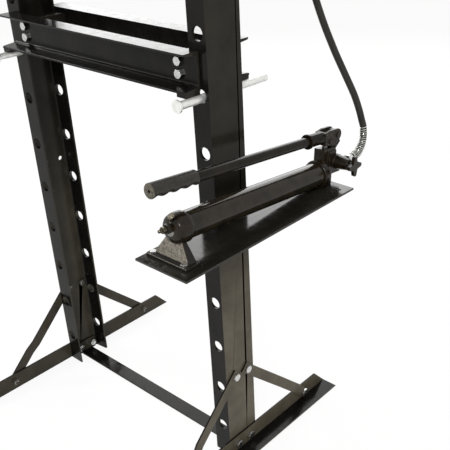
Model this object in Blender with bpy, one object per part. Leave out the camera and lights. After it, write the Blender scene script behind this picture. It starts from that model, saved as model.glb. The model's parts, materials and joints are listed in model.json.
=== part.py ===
"""Hydraulic shop press with a hand pump on a side shelf.

Two channel posts stand on angle feet and carry a crown of two channels, from which the cylinder
hangs. A bed of two channels rests on two loose pins and can be set at any pair of holes. The pump
stands on a shelf at the right post and feeds the cylinder through a hose.

Metres. +Z is up, +X points to the pump's side and -Y to the front. The origin is on the floor in
the middle of the frame, under the tie bar.
"""
import math

import bmesh
import bpy
from mathutils import Matrix, Vector

# Clearances and cutting
GAP = 0.0003
OVERRUN = 0.004
SHANK_CLEARANCE = 0.0006

# Sides of round shapes
ROUND_SIDES = 24
HOLE_SIDES = 16
SMALL_SIDES = 12
PIN_HOLE_SIDES = 12
BOLT_HOLE_SIDES = 8
BOLT_SIDES = 6
CYLINDER_SIDES = 20

# Posts, hot rolled channel with the web outside
FRAME_WIDTH = 0.685
POST_HEIGHT = 1.840
POST_WEB = 0.100
POST_FLANGE = 0.0492
POST_WALL = 0.0053
POST_FLANGE_WALL = 0.0075
ROOT_ROUND = 0.0065
TOE_ROUND = 0.0035
TAPER_SHARE = 0.09
PIN_HOLE_DIA = 0.0290
PIN_HOLE_SETBACK = 0.0223
FIRST_PIN_HOLE = 0.0925
PIN_HOLE_PITCH = 0.1250
PIN_HOLE_COUNT = 11
BED_HOLE_INDEX = 7

# Feet, angle iron outside the webs
FOOT_LENGTH = 0.710
FOOT_LEG = 0.050
FOOT_WALL = 0.0050
FOOT_END_SLOPE_SHARE = 0.90

# Braces from web to foot
BRACE_WIDTH = 0.028
BRACE_WALL = 0.0050
BRACE_END = 0.013
BRACE_TOP_HEIGHT = 0.245
BRACE_TOP_OFFSET = 0.0215
BRACE_FOOT_HEIGHT = 0.026
BRACE_FOOT_OFFSET = 0.250
BRACE_JOG_START = 0.190
BRACE_JOG_LENGTH = 0.030

# Tie bar on the floor between the posts
TIE_WIDTH = 0.040
TIE_WALL = 0.0050
TIE_CLEAT_WIDTH = 0.067
TIE_CLEAT_HEIGHT = 0.040
BASE_BOLT_HEIGHT = 0.0235
BASE_BOLT_OFFSET = 0.0225

# Crown channels
CROWN_DEPTH = 0.120
CROWN_FLANGE = 0.053
CROWN_WALL = 0.0055
CROWN_FLANGE_WALL = 0.0090
CROWN_BELOW_TOP = 0.020
CROWN_BOLT_OFFSET = 0.0270

# Bed channels, pads under their ends and their spacers
BED_DEPTH = 0.080
BED_FLANGE = 0.043
BED_WALL = 0.0050
BED_FLANGE_WALL = 0.0070
BED_END_INSET = 0.0200
BED_SIDE_CLEARANCE = 0.0020
BED_PAD_LENGTH = 0.026
BED_PAD_THICKNESS = 0.0080
BED_PAD_INSET = 0.0010
BED_BOLT_INSET = 0.0735
BED_BOLT_OFFSET = 0.0134
SPACER_WIDTH = 0.0240
SPACER_HEIGHT = 0.0580
BED_LIFT_HOLES = 2

# Loose pins that carry the bed
PIN_DIA = 0.0180
PIN_FRONT = 0.1150
PIN_BACK = 0.1500
PIN_HEAD_DIA = 0.0280
PIN_HEAD_LENGTH = 0.0050
PIN_TIP = 0.0020

# Bolts, given by their shank diameters
LARGE_BOLT = 0.0160
FRAME_BOLT = 0.0120
SMALL_BOLT = 0.0080
ACROSS_SHARE = 1.55
HEAD_SHARE = 0.62
NUT_SHARE = 0.80
TIP_SHARE = 0.30

# Cylinder plate under the crown
PLATE_LENGTH = 0.180
PLATE_WIDTH = 0.208
PLATE_THICKNESS = 0.020
PLATE_BOLT_PLACE = 0.065
PLATE_BOLT_ROW = 0.079

# Cylinder and ram, upright in the middle of the frame
BODY_RADIUS = 0.0390
BORE_RADIUS = 0.0300
BODY_BELOW_PLATE = 0.1700
BODY_ABOVE_PLATE = 0.1020
COLLAR_RADIUS = 0.0500
COLLAR_HEIGHT = 0.0250
COLLAR_CHAMFER = 0.0030
LOCK_RADIUS = 0.0470
LOCK_HEIGHT = 0.0160
LOCK_SLOT = 0.0080
LOCK_SLOT_COUNT = 6
CAP_HEIGHT = 0.0200
SPIGOT_DEPTH = 0.0100
SLIP = 0.0003
GLAND_FLANGE = 0.0120
GLAND_SPIGOT = 0.0220
WIPER_RADIUS = 0.0255
WIPER_HEIGHT = 0.0050
ROD_RADIUS = 0.0200
ROD_NECK_RADIUS = 0.0120
ROD_NECK_CLEARANCE = 0.0004
PISTON_HEIGHT = 0.0280
PISTON_TOP_ROOM = 0.0040
SEAL_DEPTH = 0.0040
SEAL_HEIGHT = 0.0050
ROD_OUT_AT_REST = 0.0200
RAM_FOOT_RADIUS = 0.0300
RAM_FOOT_HEIGHT = 0.0220
RAM_FOOT_SKIRT = 0.0100
RAM_STROKE = 0.150
SPRING_WIRE = 0.0038
SPRING_RADIUS = 0.0250
SPRING_CURLS = 10
SPRING_POINTS = 8
SPRING_SEAT_GAP = 0.0004

# Shelf for the pump, a bent plate on the right web
SHELF_TOP = 0.700
SHELF_WIDTH = 0.1455
SHELF_FRONT = 0.282
SHELF_BACK = 0.266
SHELF_WALL = 0.0050
SHELF_LIP = 0.075
SHELF_LIP_INSET = 0.220
SHELF_BOLT_HEIGHT = 0.649
SHELF_BOLT_OFFSET = 0.0235
SHELF_SPARE_HOLE_FRONT = 0.258
SHELF_SPARE_HOLE_BACK = 0.236
SHELF_SPARE_HOLE_INSET = 0.020
SHELF_SPARE_HOLE_DIA = 0.0080

# Pump, tipped a little so that its front end is higher
PUMP_OFF_WEB = 0.0695
PUMP_Y = 0.200
PUMP_AXIS_ABOVE_SHELF = 0.0312
PUMP_TIP_DEGREES = 4.8
TANK_RADIUS = 0.0285
TANK_WALL = 0.0030
TANK_FRONT = 0.4240
TANK_BACK = -0.0220
SOCKET_SLIP = 0.0004

FRONT_CAP_RADIUS = 0.0325
FRONT_CAP_BACK = 0.4080
FRONT_CAP_FACE = 0.4470
FRONT_CAP_FACE_RADIUS = 0.0117
FRONT_CAP_LIP = 0.0050
FRONT_CAP_SHOULDER = 0.0270
FRONT_CAP_DOME_SHARES = ((0.90, 0.34), (0.63, 0.11))
VENT_HEIGHT = 0.0065
VENT_RADIUS = 0.0050
VENT_NUT_ACROSS = 0.0180
VENT_NUT_LENGTH = 0.0105
VENT_HEX_ACROSS = 0.0125
VENT_HEX_LENGTH = 0.0090
VENT_TIP_LENGTH = 0.0080
VENT_TIP_RADIUS = 0.0035
FILLER_ACROSS = 0.0150
FILLER_HEAD = 0.0075
FILLER_SHANK_RADIUS = 0.0045
FILLER_SHANK = 0.0080
FILLER_PLACE = 0.4380
FILLER_HEIGHT = 0.0245
FILLER_LAND_RADIUS = 0.0100

PEDESTAL_OFFSET = -0.0050
PEDESTAL_BASE_LENGTH = 0.114
PEDESTAL_BASE_FRONT = 0.2580
PEDESTAL_BASE_BACK = 0.2190
PEDESTAL_FLANGE = 0.0060
PEDESTAL_FOOT_LENGTH = 0.100
PEDESTAL_FOOT_FRONT = 0.2440
PEDESTAL_FOOT_BACK = 0.2215
PEDESTAL_TOP_LENGTH = 0.045
PEDESTAL_TOP_FRONT = 0.2320
PEDESTAL_TOP_BACK = 0.2215
PEDESTAL_TOP_ABOVE_SHELF = 0.0440
PEDESTAL_BOLT_INSET = 0.0075
PEDESTAL_BOLT_REACH = 0.0440
PEDESTAL_POCKET_SHARE = 0.72
PEDESTAL_POCKET_TOP = 0.0240
PEDESTAL_POCKET_WALL = 0.0060

HEAD_COLLAR_RADIUS = 0.0345
HEAD_COLLAR_FRONT = -0.0140
HEAD_COLLAR_BACK = 0.0320
HEAD_COLLAR_CHAMFER = 0.0030
HEAD_LEG_WIDTH = 0.040
HEAD_LEG_FRONT = 0.0200
HEAD_LEG_BACK = 0.0540
HEAD_BLOCK_WIDTH = 0.0380
HEAD_BLOCK_FRONT = 0.0420
HEAD_BLOCK_BACK = 0.0880
HEAD_BLOCK_BOTTOM = -0.0020
HEAD_BLOCK_TOP = 0.0400
HEAD_CHEEK_BACK = 0.0690
HEAD_CHEEK_TOP = 0.0550
HEAD_BOLT_INSET = 0.0080
HEAD_BOLT_DEPTH = 0.0100
COLUMN_WIDTH = 0.0280
COLUMN_FRONT = 0.0240
COLUMN_BACK = 0.0730
BARREL_TOP = 0.0610
BARREL_FLOOR = 0.0120
PLUNGER_PLACE = 0.0465
PLUNGER_RADIUS = 0.0065
PLUNGER_PIN_HEIGHT = 0.0785
PLUNGER_EYE_RADIUS = 0.0085
PLUNGER_EYE_WIDTH = 0.0160
PLUNGER_PIN_RADIUS = 0.0040
PLUNGER_GLAND_ACROSS = 0.0240
PLUNGER_GLAND_HEIGHT = 0.0050
FULCRUM_PLACE = 0.0750
FULCRUM_HEIGHT = 0.0894
FULCRUM_PIN_RADIUS = 0.0050
LUG_WIDTH = 0.0140
LUG_EYE_RADIUS = 0.0120
LUG_FRONT = 0.0600
LUG_BACK = 0.0810
LUG_HORN_BACK = 0.0980
LUG_HORN_LOW = 0.0520
LUG_HORN_HIGH = 0.0700
BOSS_PLACE = 0.0738
BOSS_HEIGHT = 0.0245
BOSS_ROOT_RADIUS = 0.0190
BOSS_END_RADIUS = 0.0135
BOSS_ROOT = 0.0120
BOSS_END = 0.0560
BOSS_CHAMFER = 0.0020
PORT_PLACE = 0.0340
PORT_HEIGHT = 0.0300
PORT_RADIUS = 0.0105
PORT_BACK = 0.0915
PORT_BORE_RADIUS = 0.0050
STEM_RADIUS = 0.0050
STEM_DEPTH = 0.0180
STEM_OUT = 0.0020
KNOB_HUB_RADIUS = 0.0090
KNOB_HUB_LENGTH = 0.0070
KNOB_WAIST_RADIUS = 0.0112
KNOB_WIDTH = 0.0080
KNOB_REACH = 0.0247
KNOB_LOBE_RADIUS = 0.0055
KNOB_LOBES = 4
KNOB_ROUND_POINTS = 5
KNOB_TURN_DEGREES = 4.0

HANDLE_SWING_DEGREES = 45.0
HANDLE_AXIS_HEIGHT = 0.0871
HANDLE_TILT_DEGREES = 0.6
FORK_CLEARANCE = 0.0010
FORK_WALL = 0.0060
FORK_EYE_RADIUS = 0.0145
FORK_FRONT = 0.0250
FORK_BRIDGE = 0.0080
FORK_TOP = 0.0150
FORK_TOP_FRONT = 0.0105
FORK_BOTTOM = 0.0180
FORK_BELLY = 0.0210
FORK_HIP = 0.0140
SLOT_SLACK = 0.0010
HANDLE_SOCKET_RADIUS = 0.0150
HANDLE_SOCKET_FRONT = 0.0260
HANDLE_SOCKET_RIM = 0.0060
HANDLE_SOCKET_RIM_RADIUS = 0.0175
HANDLE_RADIUS = 0.0115
HANDLE_WALL = 0.0025
HANDLE_FRONT = 0.4880
GRIP_RADIUS = 0.0155
GRIP_FRONT = 0.4945
GRIP_BACK = 0.3780
GRIP_END_WALL = 0.0050
GRIP_END_HOLE = 0.0030
GRIP_SCALLOP = 0.0035
GRIP_FINGERS = 4
GRIP_STATIONS_A_FINGER = 4
GRIP_LIP = 0.0020
PIN_HEAD_WALL = 0.0030
PIN_HEAD_SHARE = 1.35

# Hose from the pump's port to the cylinder's elbow, with a guard spring at the pump
NIPPLE_ACROSS = 0.0190
NIPPLE_LENGTH = 0.0070
NIPPLE_SHANK = 0.0070
NIPPLE_BORE = 0.0030
FERRULE_RADIUS = 0.0100
FERRULE_LENGTH = 0.0090
HOSE_RADIUS = 0.0085
HOSE_START_SHARE = 0.5
HOSE_STEP = 0.0280
HOSE_BEND_STEP = 0.0125
HOSE_BEND_LENGTH = 0.1500
ROUTE_PARTS = 12
GUARD_WIRE = 0.0020
GUARD_INSIDE_CLEARANCE = 0.0006
GUARD_LENGTH = 0.0960
GUARD_CURLS = 18
GUARD_POINTS = 8
ELBOW_RADIUS = 0.0115
ELBOW_RISE = 0.0260
ELBOW_REACH = 0.0200
ELBOW_SHANK_RADIUS = 0.0080
ELBOW_ARM_SHARE = 0.9

# Route of the hose between its two straight ends, in world places chosen along the hang
HOSE_ROUTE = (
    (0.4460, 0.3407, 0.7570),
    (0.4460, 0.3570, 0.7740),
    (0.4455, 0.3630, 0.7950),
    (0.4430, 0.3635, 0.8165),
    (0.4385, 0.3628, 0.8310),
    (0.4314, 0.3600, 0.8569),
    (0.4196, 0.3540, 0.8924),
    (0.3985, 0.3450, 0.9386),
    (0.3720, 0.3330, 0.9980),
    (0.3440, 0.3180, 1.0750),
    (0.3180, 0.3000, 1.1750),
    (0.2970, 0.2840, 1.2900),
    (0.2810, 0.2690, 1.4100),
    (0.2700, 0.2580, 1.5300),
    (0.2590, 0.2470, 1.6400),
    (0.2400, 0.2300, 1.7400),
    (0.2080, 0.2010, 1.8250),
    (0.1600, 0.1560, 1.8740),
    (0.1020, 0.1000, 1.8700),
)

# Places that follow from the sizes above
HALF_FRAME = FRAME_WIDTH / 2
HALF_WEB = POST_WEB / 2
PIN_PLACE = HALF_FRAME - PIN_HOLE_SETBACK
BED_LENGTH = FRAME_WIDTH - 2 * BED_END_INSET
BED_BOLT_PLACE = HALF_FRAME - BED_BOLT_INSET
PUMP_X = HALF_FRAME + PUMP_OFF_WEB
PEDESTAL_X = PUMP_X + PEDESTAL_OFFSET
BED_HOLE_HEIGHT = FIRST_PIN_HOLE + BED_HOLE_INDEX * PIN_HOLE_PITCH
PIN_HEIGHT = BED_HOLE_HEIGHT - PIN_HOLE_DIA / 2 * math.cos(math.pi / PIN_HOLE_SIDES) + PIN_DIA / 2 + GAP
PAD_BOTTOM = PIN_HEIGHT + PIN_DIA / 2 + GAP
BED_BOTTOM = PAD_BOTTOM + BED_PAD_THICKNESS
BED_WEB_PLACE = HALF_WEB + BED_SIDE_CLEARANCE
CROWN_WEB_PLACE = HALF_WEB + GAP
CROWN_MIDDLE = POST_HEIGHT - CROWN_BELOW_TOP - CROWN_DEPTH / 2
CROWN_BOTTOM = CROWN_MIDDLE - CROWN_DEPTH / 2
PLATE_TOP = CROWN_BOTTOM - GAP
PLATE_BOTTOM = PLATE_TOP - PLATE_THICKNESS
BODY_TOP = PLATE_TOP + BODY_ABOVE_PLATE
BODY_BOTTOM = PLATE_BOTTOM - BODY_BELOW_PLATE
PISTON_TOP = BODY_TOP - SPIGOT_DEPTH - PISTON_TOP_ROOM
PISTON_BOTTOM = PISTON_TOP - PISTON_HEIGHT
GLAND_BOTTOM = BODY_BOTTOM - GAP - GLAND_FLANGE
GLAND_TOP = BODY_BOTTOM + GLAND_SPIGOT
ROD_BOTTOM = GLAND_BOTTOM - ROD_OUT_AT_REST
CAP_TOP = BODY_TOP + GAP + CAP_HEIGHT
PUMP_TIP = math.radians(PUMP_TIP_DEGREES)


def finish(name, colour, metallic, roughness):
    """Make one plain material."""
    made = bpy.data.materials.new(name)
    made.use_nodes = True
    shader = made.node_tree.nodes["Principled BSDF"]
    shader.inputs["Base Color"].default_value = (*colour, 1.0)
    shader.inputs["Metallic"].default_value = metallic
    shader.inputs["Roughness"].default_value = roughness
    return made


PAINT = ((0.010, 0.009, 0.008), 0.0, 0.22)
CAST_PAINT = ((0.016, 0.014, 0.012), 0.0, 0.42)
ROUGH_CAST = ((0.150, 0.120, 0.095), 0.1, 0.75)
ZINC = ((0.62, 0.64, 0.66), 1.0, 0.32)
STEEL = ((0.42, 0.42, 0.42), 1.0, 0.30)
CHROMED = ((0.75, 0.75, 0.76), 1.0, 0.08)
RUBBER = ((0.012, 0.012, 0.012), 0.0, 0.60)
GRIP_VINYL = ((0.020, 0.018, 0.016), 0.0, 0.45)
SEAL_RED = ((0.20, 0.02, 0.02), 0.0, 0.50)


def frame_at(origin, x_axis, y_axis):
    """Give the place whose X and Y axes point along the two given directions."""
    x_dir = Vector(x_axis).normalized()
    y_dir = Vector(y_axis).normalized()
    z_dir = x_dir.cross(y_dir)
    turn = Matrix((x_dir, y_dir, z_dir)).transposed().to_4x4()
    return Matrix.Translation(Vector(origin)) @ turn


def along(origin, axis):
    """Give a place whose Z axis points along the given direction."""
    z_dir = Vector(axis).normalized()
    side = Vector((1, 0, 0)) if abs(z_dir.x) < abs(z_dir.z) + abs(z_dir.y) else Vector((0, 1, 0))
    x_dir = (side - z_dir * side.dot(z_dir)).normalized()
    return frame_at(origin, x_dir, z_dir.cross(x_dir))


def add_object(name, bm, look, place=None, parent=None, smooth=True):
    """Turn a finished bmesh into a placed object of its own material."""
    bmesh.ops.recalc_face_normals(bm, faces=bm.faces[:])
    mesh = bpy.data.meshes.new(name)
    bm.to_mesh(mesh)
    bm.free()
    thing = bpy.data.objects.new(name, mesh)
    bpy.context.scene.collection.objects.link(thing)
    if look is not None:
        mesh.materials.append(finish(name, *look))
    if smooth:
        mesh.shade_smooth()
        mesh.set_sharp_from_angle(angle=math.radians(35))
    if parent is not None:
        thing.parent = parent
    if place is not None:
        thing.matrix_basis = place
    return thing


def combine(thing, bm, operation, place=None, parent=None):
    """Join a shape to an object or cut it out of the object with a Boolean."""
    name = thing.name + "_" + operation.lower() + str(len(thing.modifiers))
    tool = add_object(name, bm, None, place, parent, smooth=False)
    tool.hide_render = True
    tool.display_type = "WIRE"
    step = thing.modifiers.new(name, "BOOLEAN")
    step.operation = operation
    step.solver = "EXACT"
    step.object = tool
    return tool


def ring(bm, place, radius, height, sides, across=None):
    """Add one ring of points, round or six sided, at a height along the place's Z axis."""
    points = []
    for index in range(sides):
        angle = 2 * math.pi * index / sides
        reach = radius
        if across is not None:
            corner = index * 6 % sides == 0
            reach = across / 2 / math.cos(math.pi / 6) if corner else across / 2
        spot = place @ Vector((reach * math.cos(angle), reach * math.sin(angle), height))
        points.append(bm.verts.new(spot))
    return points


def bridge(bm, lower, upper):
    """Join two rings of equal count with quads."""
    count = len(lower)
    for index in range(count):
        after = (index + 1) % count
        bm.faces.new((lower[index], lower[after], upper[after], upper[index]))


def turned(bm, place, stations, sides, hollow=False):
    """Turn a profile of (radius, height, across flats or None) round the place's Z axis."""
    rings = []
    for station in stations:
        across = station[2] if len(station) > 2 else None
        rings.append(ring(bm, place, station[0], station[1], sides, across))
    for lower, upper in zip(rings, rings[1:]):
        bridge(bm, lower, upper)
    if hollow:
        bridge(bm, rings[-1], rings[0])
    else:
        bm.faces.new(tuple(reversed(rings[0])))
        bm.faces.new(tuple(rings[-1]))


def slab(bm, place, outline, depth):
    """Extrude a flat outline from the place's XY plane along its Z axis."""
    lower = [bm.verts.new(place @ Vector((u, v, 0))) for u, v in outline]
    upper = [bm.verts.new(place @ Vector((u, v, depth))) for u, v in outline]
    bm.faces.new(tuple(reversed(lower)))
    bm.faces.new(tuple(upper))
    bridge(bm, lower, upper)


def box(bm, low, high, place=None):
    """Add a block between two corners."""
    start = Matrix.Translation(Vector((0, 0, low[2])))
    if place is not None:
        start = place @ start
    outline = ((low[0], low[1]), (high[0], low[1]), (high[0], high[1]), (low[0], high[1]))
    slab(bm, start, outline, high[2] - low[2])


def arc(centre, radius, start_degrees, end_degrees, steps):
    """Give the points of an arc, both ends included."""
    points = []
    for index in range(steps + 1):
        angle = math.radians(start_degrees + (end_degrees - start_degrees) * index / steps)
        points.append((centre[0] + radius * math.cos(angle), centre[1] + radius * math.sin(angle)))
    return points


def channel_outline(depth, flange, wall, flange_wall):
    """Give a rolled channel: web along X at Y zero, tapered flanges towards +Y."""
    half = depth / 2

    def inner(reach):
        return half - flange_wall - TAPER_SHARE * (flange / 2 - reach)

    tip = inner(flange)
    root = inner(wall + ROOT_ROUND)
    right = [(half, 0), (half, flange)]
    right += arc((tip + TOE_ROUND, flange - TOE_ROUND), TOE_ROUND, 90, 180, 2)
    right += arc((root - ROOT_ROUND, wall + ROOT_ROUND), ROOT_ROUND, 0, -90, 3)
    left = [(-u, v) for u, v in reversed(right)]
    return left + right


def round_cutter(bm, place, radius, low, high, sides=SMALL_SIDES):
    """Add a plain cylinder for a hole, longer than the wall at both ends."""
    turned(bm, place, ((radius, low - OVERRUN), (radius, high + OVERRUN)), sides)


def bolt(bm, seat, outward, dia, grip, head_gap=GAP, nut_gap=GAP):
    """Add a hexagon bolt with its nut run on, its head at the seat and its shank in the grip."""
    place = along(seat, outward)
    across = dia * ACROSS_SHARE
    nut_face = -grip - nut_gap
    nut_back = nut_face - dia * NUT_SHARE
    turned(bm, place, (
        (dia / 2, nut_back - dia * TIP_SHARE),
        (dia / 2, nut_back),
        (across / 2, nut_back, across),
        (across / 2, nut_face, across),
        (dia / 2, nut_face),
        (dia / 2, head_gap),
        (across / 2, head_gap, across),
        (across / 2, dia * HEAD_SHARE, across),
    ), BOLT_SIDES)


def add_bolts(names, places):
    """Make one object of each bolt with its nut, in the order of the names."""
    for name, (seat, outward, dia, grip) in zip(names, places):
        bm = bmesh.new()
        bolt(bm, seat, outward, dia, grip)
        add_object(name, bm, ZINC)


def fix_bolts(thing, places, head_gap, nut_gap):
    """Unite bolts with the piece that they hold, clear of the pieces that they pass through."""
    bm = bmesh.new()
    for seat, outward, dia, grip in places:
        bolt(bm, seat, outward, dia, grip, head_gap, nut_gap)
    combine(thing, bm, "UNION")


def post_place(side):
    """Place a post: its own X runs along the web and its own Y from the web to the toes."""
    return frame_at((side * HALF_FRAME, 0, 0), (0, side, 0), (-side, 0, 0))


def make_posts():
    """Make the two posts with their pin holes, crown holes, brace holes and shelf holes."""
    outline = channel_outline(POST_WEB, POST_FLANGE, POST_WALL, POST_FLANGE_WALL)
    for side, name in ((-1, "upright_left"), (1, "upright_right")):
        place = post_place(side)
        bm = bmesh.new()
        slab(bm, Matrix.Identity(4), outline, POST_HEIGHT)
        post = add_object(name, bm, PAINT, place)
        holes = bmesh.new()
        heights = [FIRST_PIN_HOLE + index * PIN_HOLE_PITCH for index in range(PIN_HOLE_COUNT)]
        for height in heights:
            hole = along((0, PIN_HOLE_SETBACK, height), (1, 0, 0))
            round_cutter(holes, hole, PIN_HOLE_DIA / 2, -HALF_WEB, HALF_WEB, PIN_HOLE_SIDES)
        crown_heights = (CROWN_MIDDLE - CROWN_BOLT_OFFSET, CROWN_MIDDLE + CROWN_BOLT_OFFSET)
        for height in crown_heights:
            hole = along((0, PIN_HOLE_SETBACK, height), (1, 0, 0))
            radius = LARGE_BOLT / 2 + SHANK_CLEARANCE
            round_cutter(holes, hole, radius, -HALF_WEB, HALF_WEB, BOLT_HOLE_SIDES)
        web_rows = (
            (BASE_BOLT_OFFSET, BASE_BOLT_HEIGHT),
            (BRACE_TOP_OFFSET, BRACE_TOP_HEIGHT),
            (SHELF_BOLT_OFFSET, SHELF_BOLT_HEIGHT),
        )
        for offset, height in web_rows:
            for turn in (-1, 1):
                hole = along((turn * offset, 0, height), (0, 1, 0))
                round_cutter(holes, hole, FRAME_BOLT / 2 + SHANK_CLEARANCE, 0, POST_WALL, BOLT_HOLE_SIDES)
        combine(post, holes, "DIFFERENCE", place)


def make_feet():
    """Make the two angle feet, with sloped ends, against the outer faces of the webs."""
    for side, name in ((-1, "foot_left"), (1, "foot_right")):
        place = frame_at((side * (HALF_FRAME + GAP), 0, 0), (side, 0, 0), (0, 0, 1))
        outline = ((0, 0), (FOOT_LEG, 0), (FOOT_LEG, FOOT_WALL), (FOOT_WALL, FOOT_WALL),
                   (FOOT_WALL, FOOT_LEG), (0, FOOT_LEG))
        bm = bmesh.new()
        slab(bm, Matrix.Translation((0, 0, -FOOT_LENGTH / 2)), outline, FOOT_LENGTH)
        for vert in bm.verts:
            pull = FOOT_END_SLOPE_SHARE * vert.co.y
            vert.co.z -= math.copysign(pull, vert.co.z)
        foot = add_object(name, bm, PAINT, place, smooth=False)
        holes = bmesh.new()
        spots = ((BASE_BOLT_OFFSET, BASE_BOLT_HEIGHT), (BRACE_FOOT_OFFSET, BRACE_FOOT_HEIGHT))
        for offset, height in spots:
            for turn in (-1, 1):
                hole = along((0, height, turn * offset), (1, 0, 0))
                round_cutter(holes, hole, FRAME_BOLT / 2 + SHANK_CLEARANCE, 0, FOOT_WALL, BOLT_HOLE_SIDES)
        combine(foot, holes, "DIFFERENCE", place)


def make_braces():
    """Make the four braces, each set out past the foot's leg at its lower end."""
    drop = BRACE_TOP_HEIGHT - BRACE_FOOT_HEIGHT
    run = BRACE_FOOT_OFFSET - BRACE_TOP_OFFSET
    length = math.hypot(drop, run)
    out = FOOT_WALL + GAP
    web_grip = BRACE_WALL + GAP + POST_WALL
    foot_grip = BRACE_WALL + GAP + FOOT_WALL
    jog_end = BRACE_JOG_START + BRACE_JOG_LENGTH
    outline = (
        (-BRACE_END, 0), (BRACE_JOG_START, 0), (jog_end, out), (length + BRACE_END, out),
        (length + BRACE_END, out + BRACE_WALL), (jog_end, out + BRACE_WALL),
        (BRACE_JOG_START, BRACE_WALL), (-BRACE_END, BRACE_WALL),
    )
    for side, side_name in ((-1, "left"), (1, "right")):
        for turn, turn_name in ((-1, "front"), (1, "rear")):
            top = (side * (HALF_FRAME + GAP), turn * BRACE_TOP_OFFSET, BRACE_TOP_HEIGHT)
            place = frame_at(top, (0, turn * run, -drop), (side, 0, 0))
            bm = bmesh.new()
            slab(bm, Matrix.Translation((0, 0, -BRACE_WIDTH / 2)), outline, BRACE_WIDTH)
            brace = add_object("brace_" + side_name + "_" + turn_name, bm, PAINT, place, smooth=False)
            web_seat = (side * (HALF_FRAME + GAP + BRACE_WALL), turn * BRACE_TOP_OFFSET, BRACE_TOP_HEIGHT)
            foot_face = side * (HALF_FRAME + GAP + out + BRACE_WALL)
            foot_seat = (foot_face, turn * BRACE_FOOT_OFFSET, BRACE_FOOT_HEIGHT)
            places = (
                (web_seat, (side, 0, 0), FRAME_BOLT, web_grip),
                (foot_seat, (side, 0, 0), FRAME_BOLT, foot_grip),
            )
            fix_bolts(brace, places, -GAP, GAP)


def make_tie():
    """Make the flat tie bar on the floor, with a cleat at each web."""
    reach = HALF_FRAME - POST_WALL - GAP
    bm = bmesh.new()
    box(bm, (-reach, -TIE_WIDTH / 2, 0), (reach, TIE_WIDTH / 2, TIE_WALL))
    tie = add_object("tie_bar", bm, PAINT, smooth=False)
    cleats = bmesh.new()
    for side in (-1, 1):
        inner = side * (reach - TIE_WALL)
        low = (min(inner, side * reach), -TIE_CLEAT_WIDTH / 2, 0)
        high = (max(inner, side * reach), TIE_CLEAT_WIDTH / 2, TIE_CLEAT_HEIGHT)
        box(cleats, low, high)
    combine(tie, cleats, "UNION")
    places = []
    grip = FOOT_WALL + GAP + POST_WALL + GAP + TIE_WALL
    for side in (-1, 1):
        for turn in (-1, 1):
            seat = (side * (HALF_FRAME + GAP + FOOT_WALL), turn * BASE_BOLT_OFFSET, BASE_BOLT_HEIGHT)
            places.append((seat, (side, 0, 0), FRAME_BOLT, grip))
    fix_bolts(tie, places, GAP, -GAP)


def make_crown_bolts():
    """Make the long bolts through both crown channels and the post flanges."""
    names = []
    places = []
    crown_face = CROWN_WEB_PLACE + CROWN_WALL
    for side, side_name in ((-1, "left"), (1, "right")):
        for turn, height_name in ((-1, "lower"), (1, "upper")):
            seat = (side * PIN_PLACE, -crown_face, CROWN_MIDDLE + turn * CROWN_BOLT_OFFSET)
            places.append((seat, (0, -1, 0), LARGE_BOLT, 2 * crown_face))
            names.append("crown_bolt_" + side_name + "_" + height_name)
    add_bolts(names, places)


def beam_place(turn, web_place, middle_height, length):
    """Place a beam: its own X is up, its own Y points away from the posts."""
    return frame_at((turn * length / 2, turn * web_place, middle_height), (0, 0, 1), (0, turn, 0))


def make_crown():
    """Make the two crown channels, bolted to the post flanges and the cylinder plate."""
    outline = channel_outline(CROWN_DEPTH, CROWN_FLANGE, CROWN_WALL, CROWN_FLANGE_WALL)
    for turn, name in ((-1, "crown_channel_front"), (1, "crown_channel_rear")):
        place = beam_place(turn, CROWN_WEB_PLACE, CROWN_MIDDLE, FRAME_WIDTH)
        bm = bmesh.new()
        slab(bm, Matrix.Identity(4), outline, FRAME_WIDTH)
        beam = add_object(name, bm, PAINT, place)
        holes = bmesh.new()
        for side in (-1, 1):
            for lift in (-1, 1):
                spot = (side * PIN_PLACE, turn * CROWN_WEB_PLACE, CROWN_MIDDLE + lift * CROWN_BOLT_OFFSET)
                radius = LARGE_BOLT / 2 + SHANK_CLEARANCE
                hole = along(spot, (0, turn, 0))
                round_cutter(holes, hole, radius, 0, CROWN_WALL, BOLT_HOLE_SIDES)
            spot = (side * PLATE_BOLT_PLACE, turn * PLATE_BOLT_ROW, CROWN_BOTTOM)
            radius = FRAME_BOLT / 2 + SHANK_CLEARANCE
            thickest = CROWN_FLANGE_WALL + TAPER_SHARE * CROWN_FLANGE
            round_cutter(holes, along(spot, (0, 0, 1)), radius, 0, thickest, BOLT_HOLE_SIDES)
        combine(beam, holes, "DIFFERENCE")


def flange_thickness(flange, flange_wall, reach):
    """Give a tapered flange's thickness at a distance from the web's outer face."""
    return flange_wall + TAPER_SHARE * (flange / 2 - reach)


def make_cylinder_plate():
    """Make the thick plate that carries the cylinder, with its bolts to the crown."""
    bm = bmesh.new()
    half = (PLATE_LENGTH / 2, PLATE_WIDTH / 2)
    box(bm, (-half[0], -half[1], PLATE_BOTTOM), (half[0], half[1], PLATE_TOP))
    plate = add_object("cylinder_plate", bm, PAINT, smooth=False)
    holes = bmesh.new()
    bore = BODY_RADIUS + SLIP * 2
    round_cutter(holes, Matrix.Identity(4), bore, PLATE_BOTTOM, PLATE_TOP, CYLINDER_SIDES)
    places = []
    nut_reach = FRAME_BOLT * ACROSS_SHARE / 2
    from_web = PLATE_BOLT_ROW - CROWN_WEB_PLACE
    flange = flange_thickness(CROWN_FLANGE, CROWN_FLANGE_WALL, from_web - nut_reach)
    for side in (-1, 1):
        for turn in (-1, 1):
            spot = (side * PLATE_BOLT_PLACE, turn * PLATE_BOLT_ROW, PLATE_BOTTOM)
            places.append((spot, (0, 0, -1), FRAME_BOLT, PLATE_THICKNESS + GAP + flange))
    combine(plate, holes, "DIFFERENCE")
    fix_bolts(plate, places, -GAP, GAP)


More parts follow.
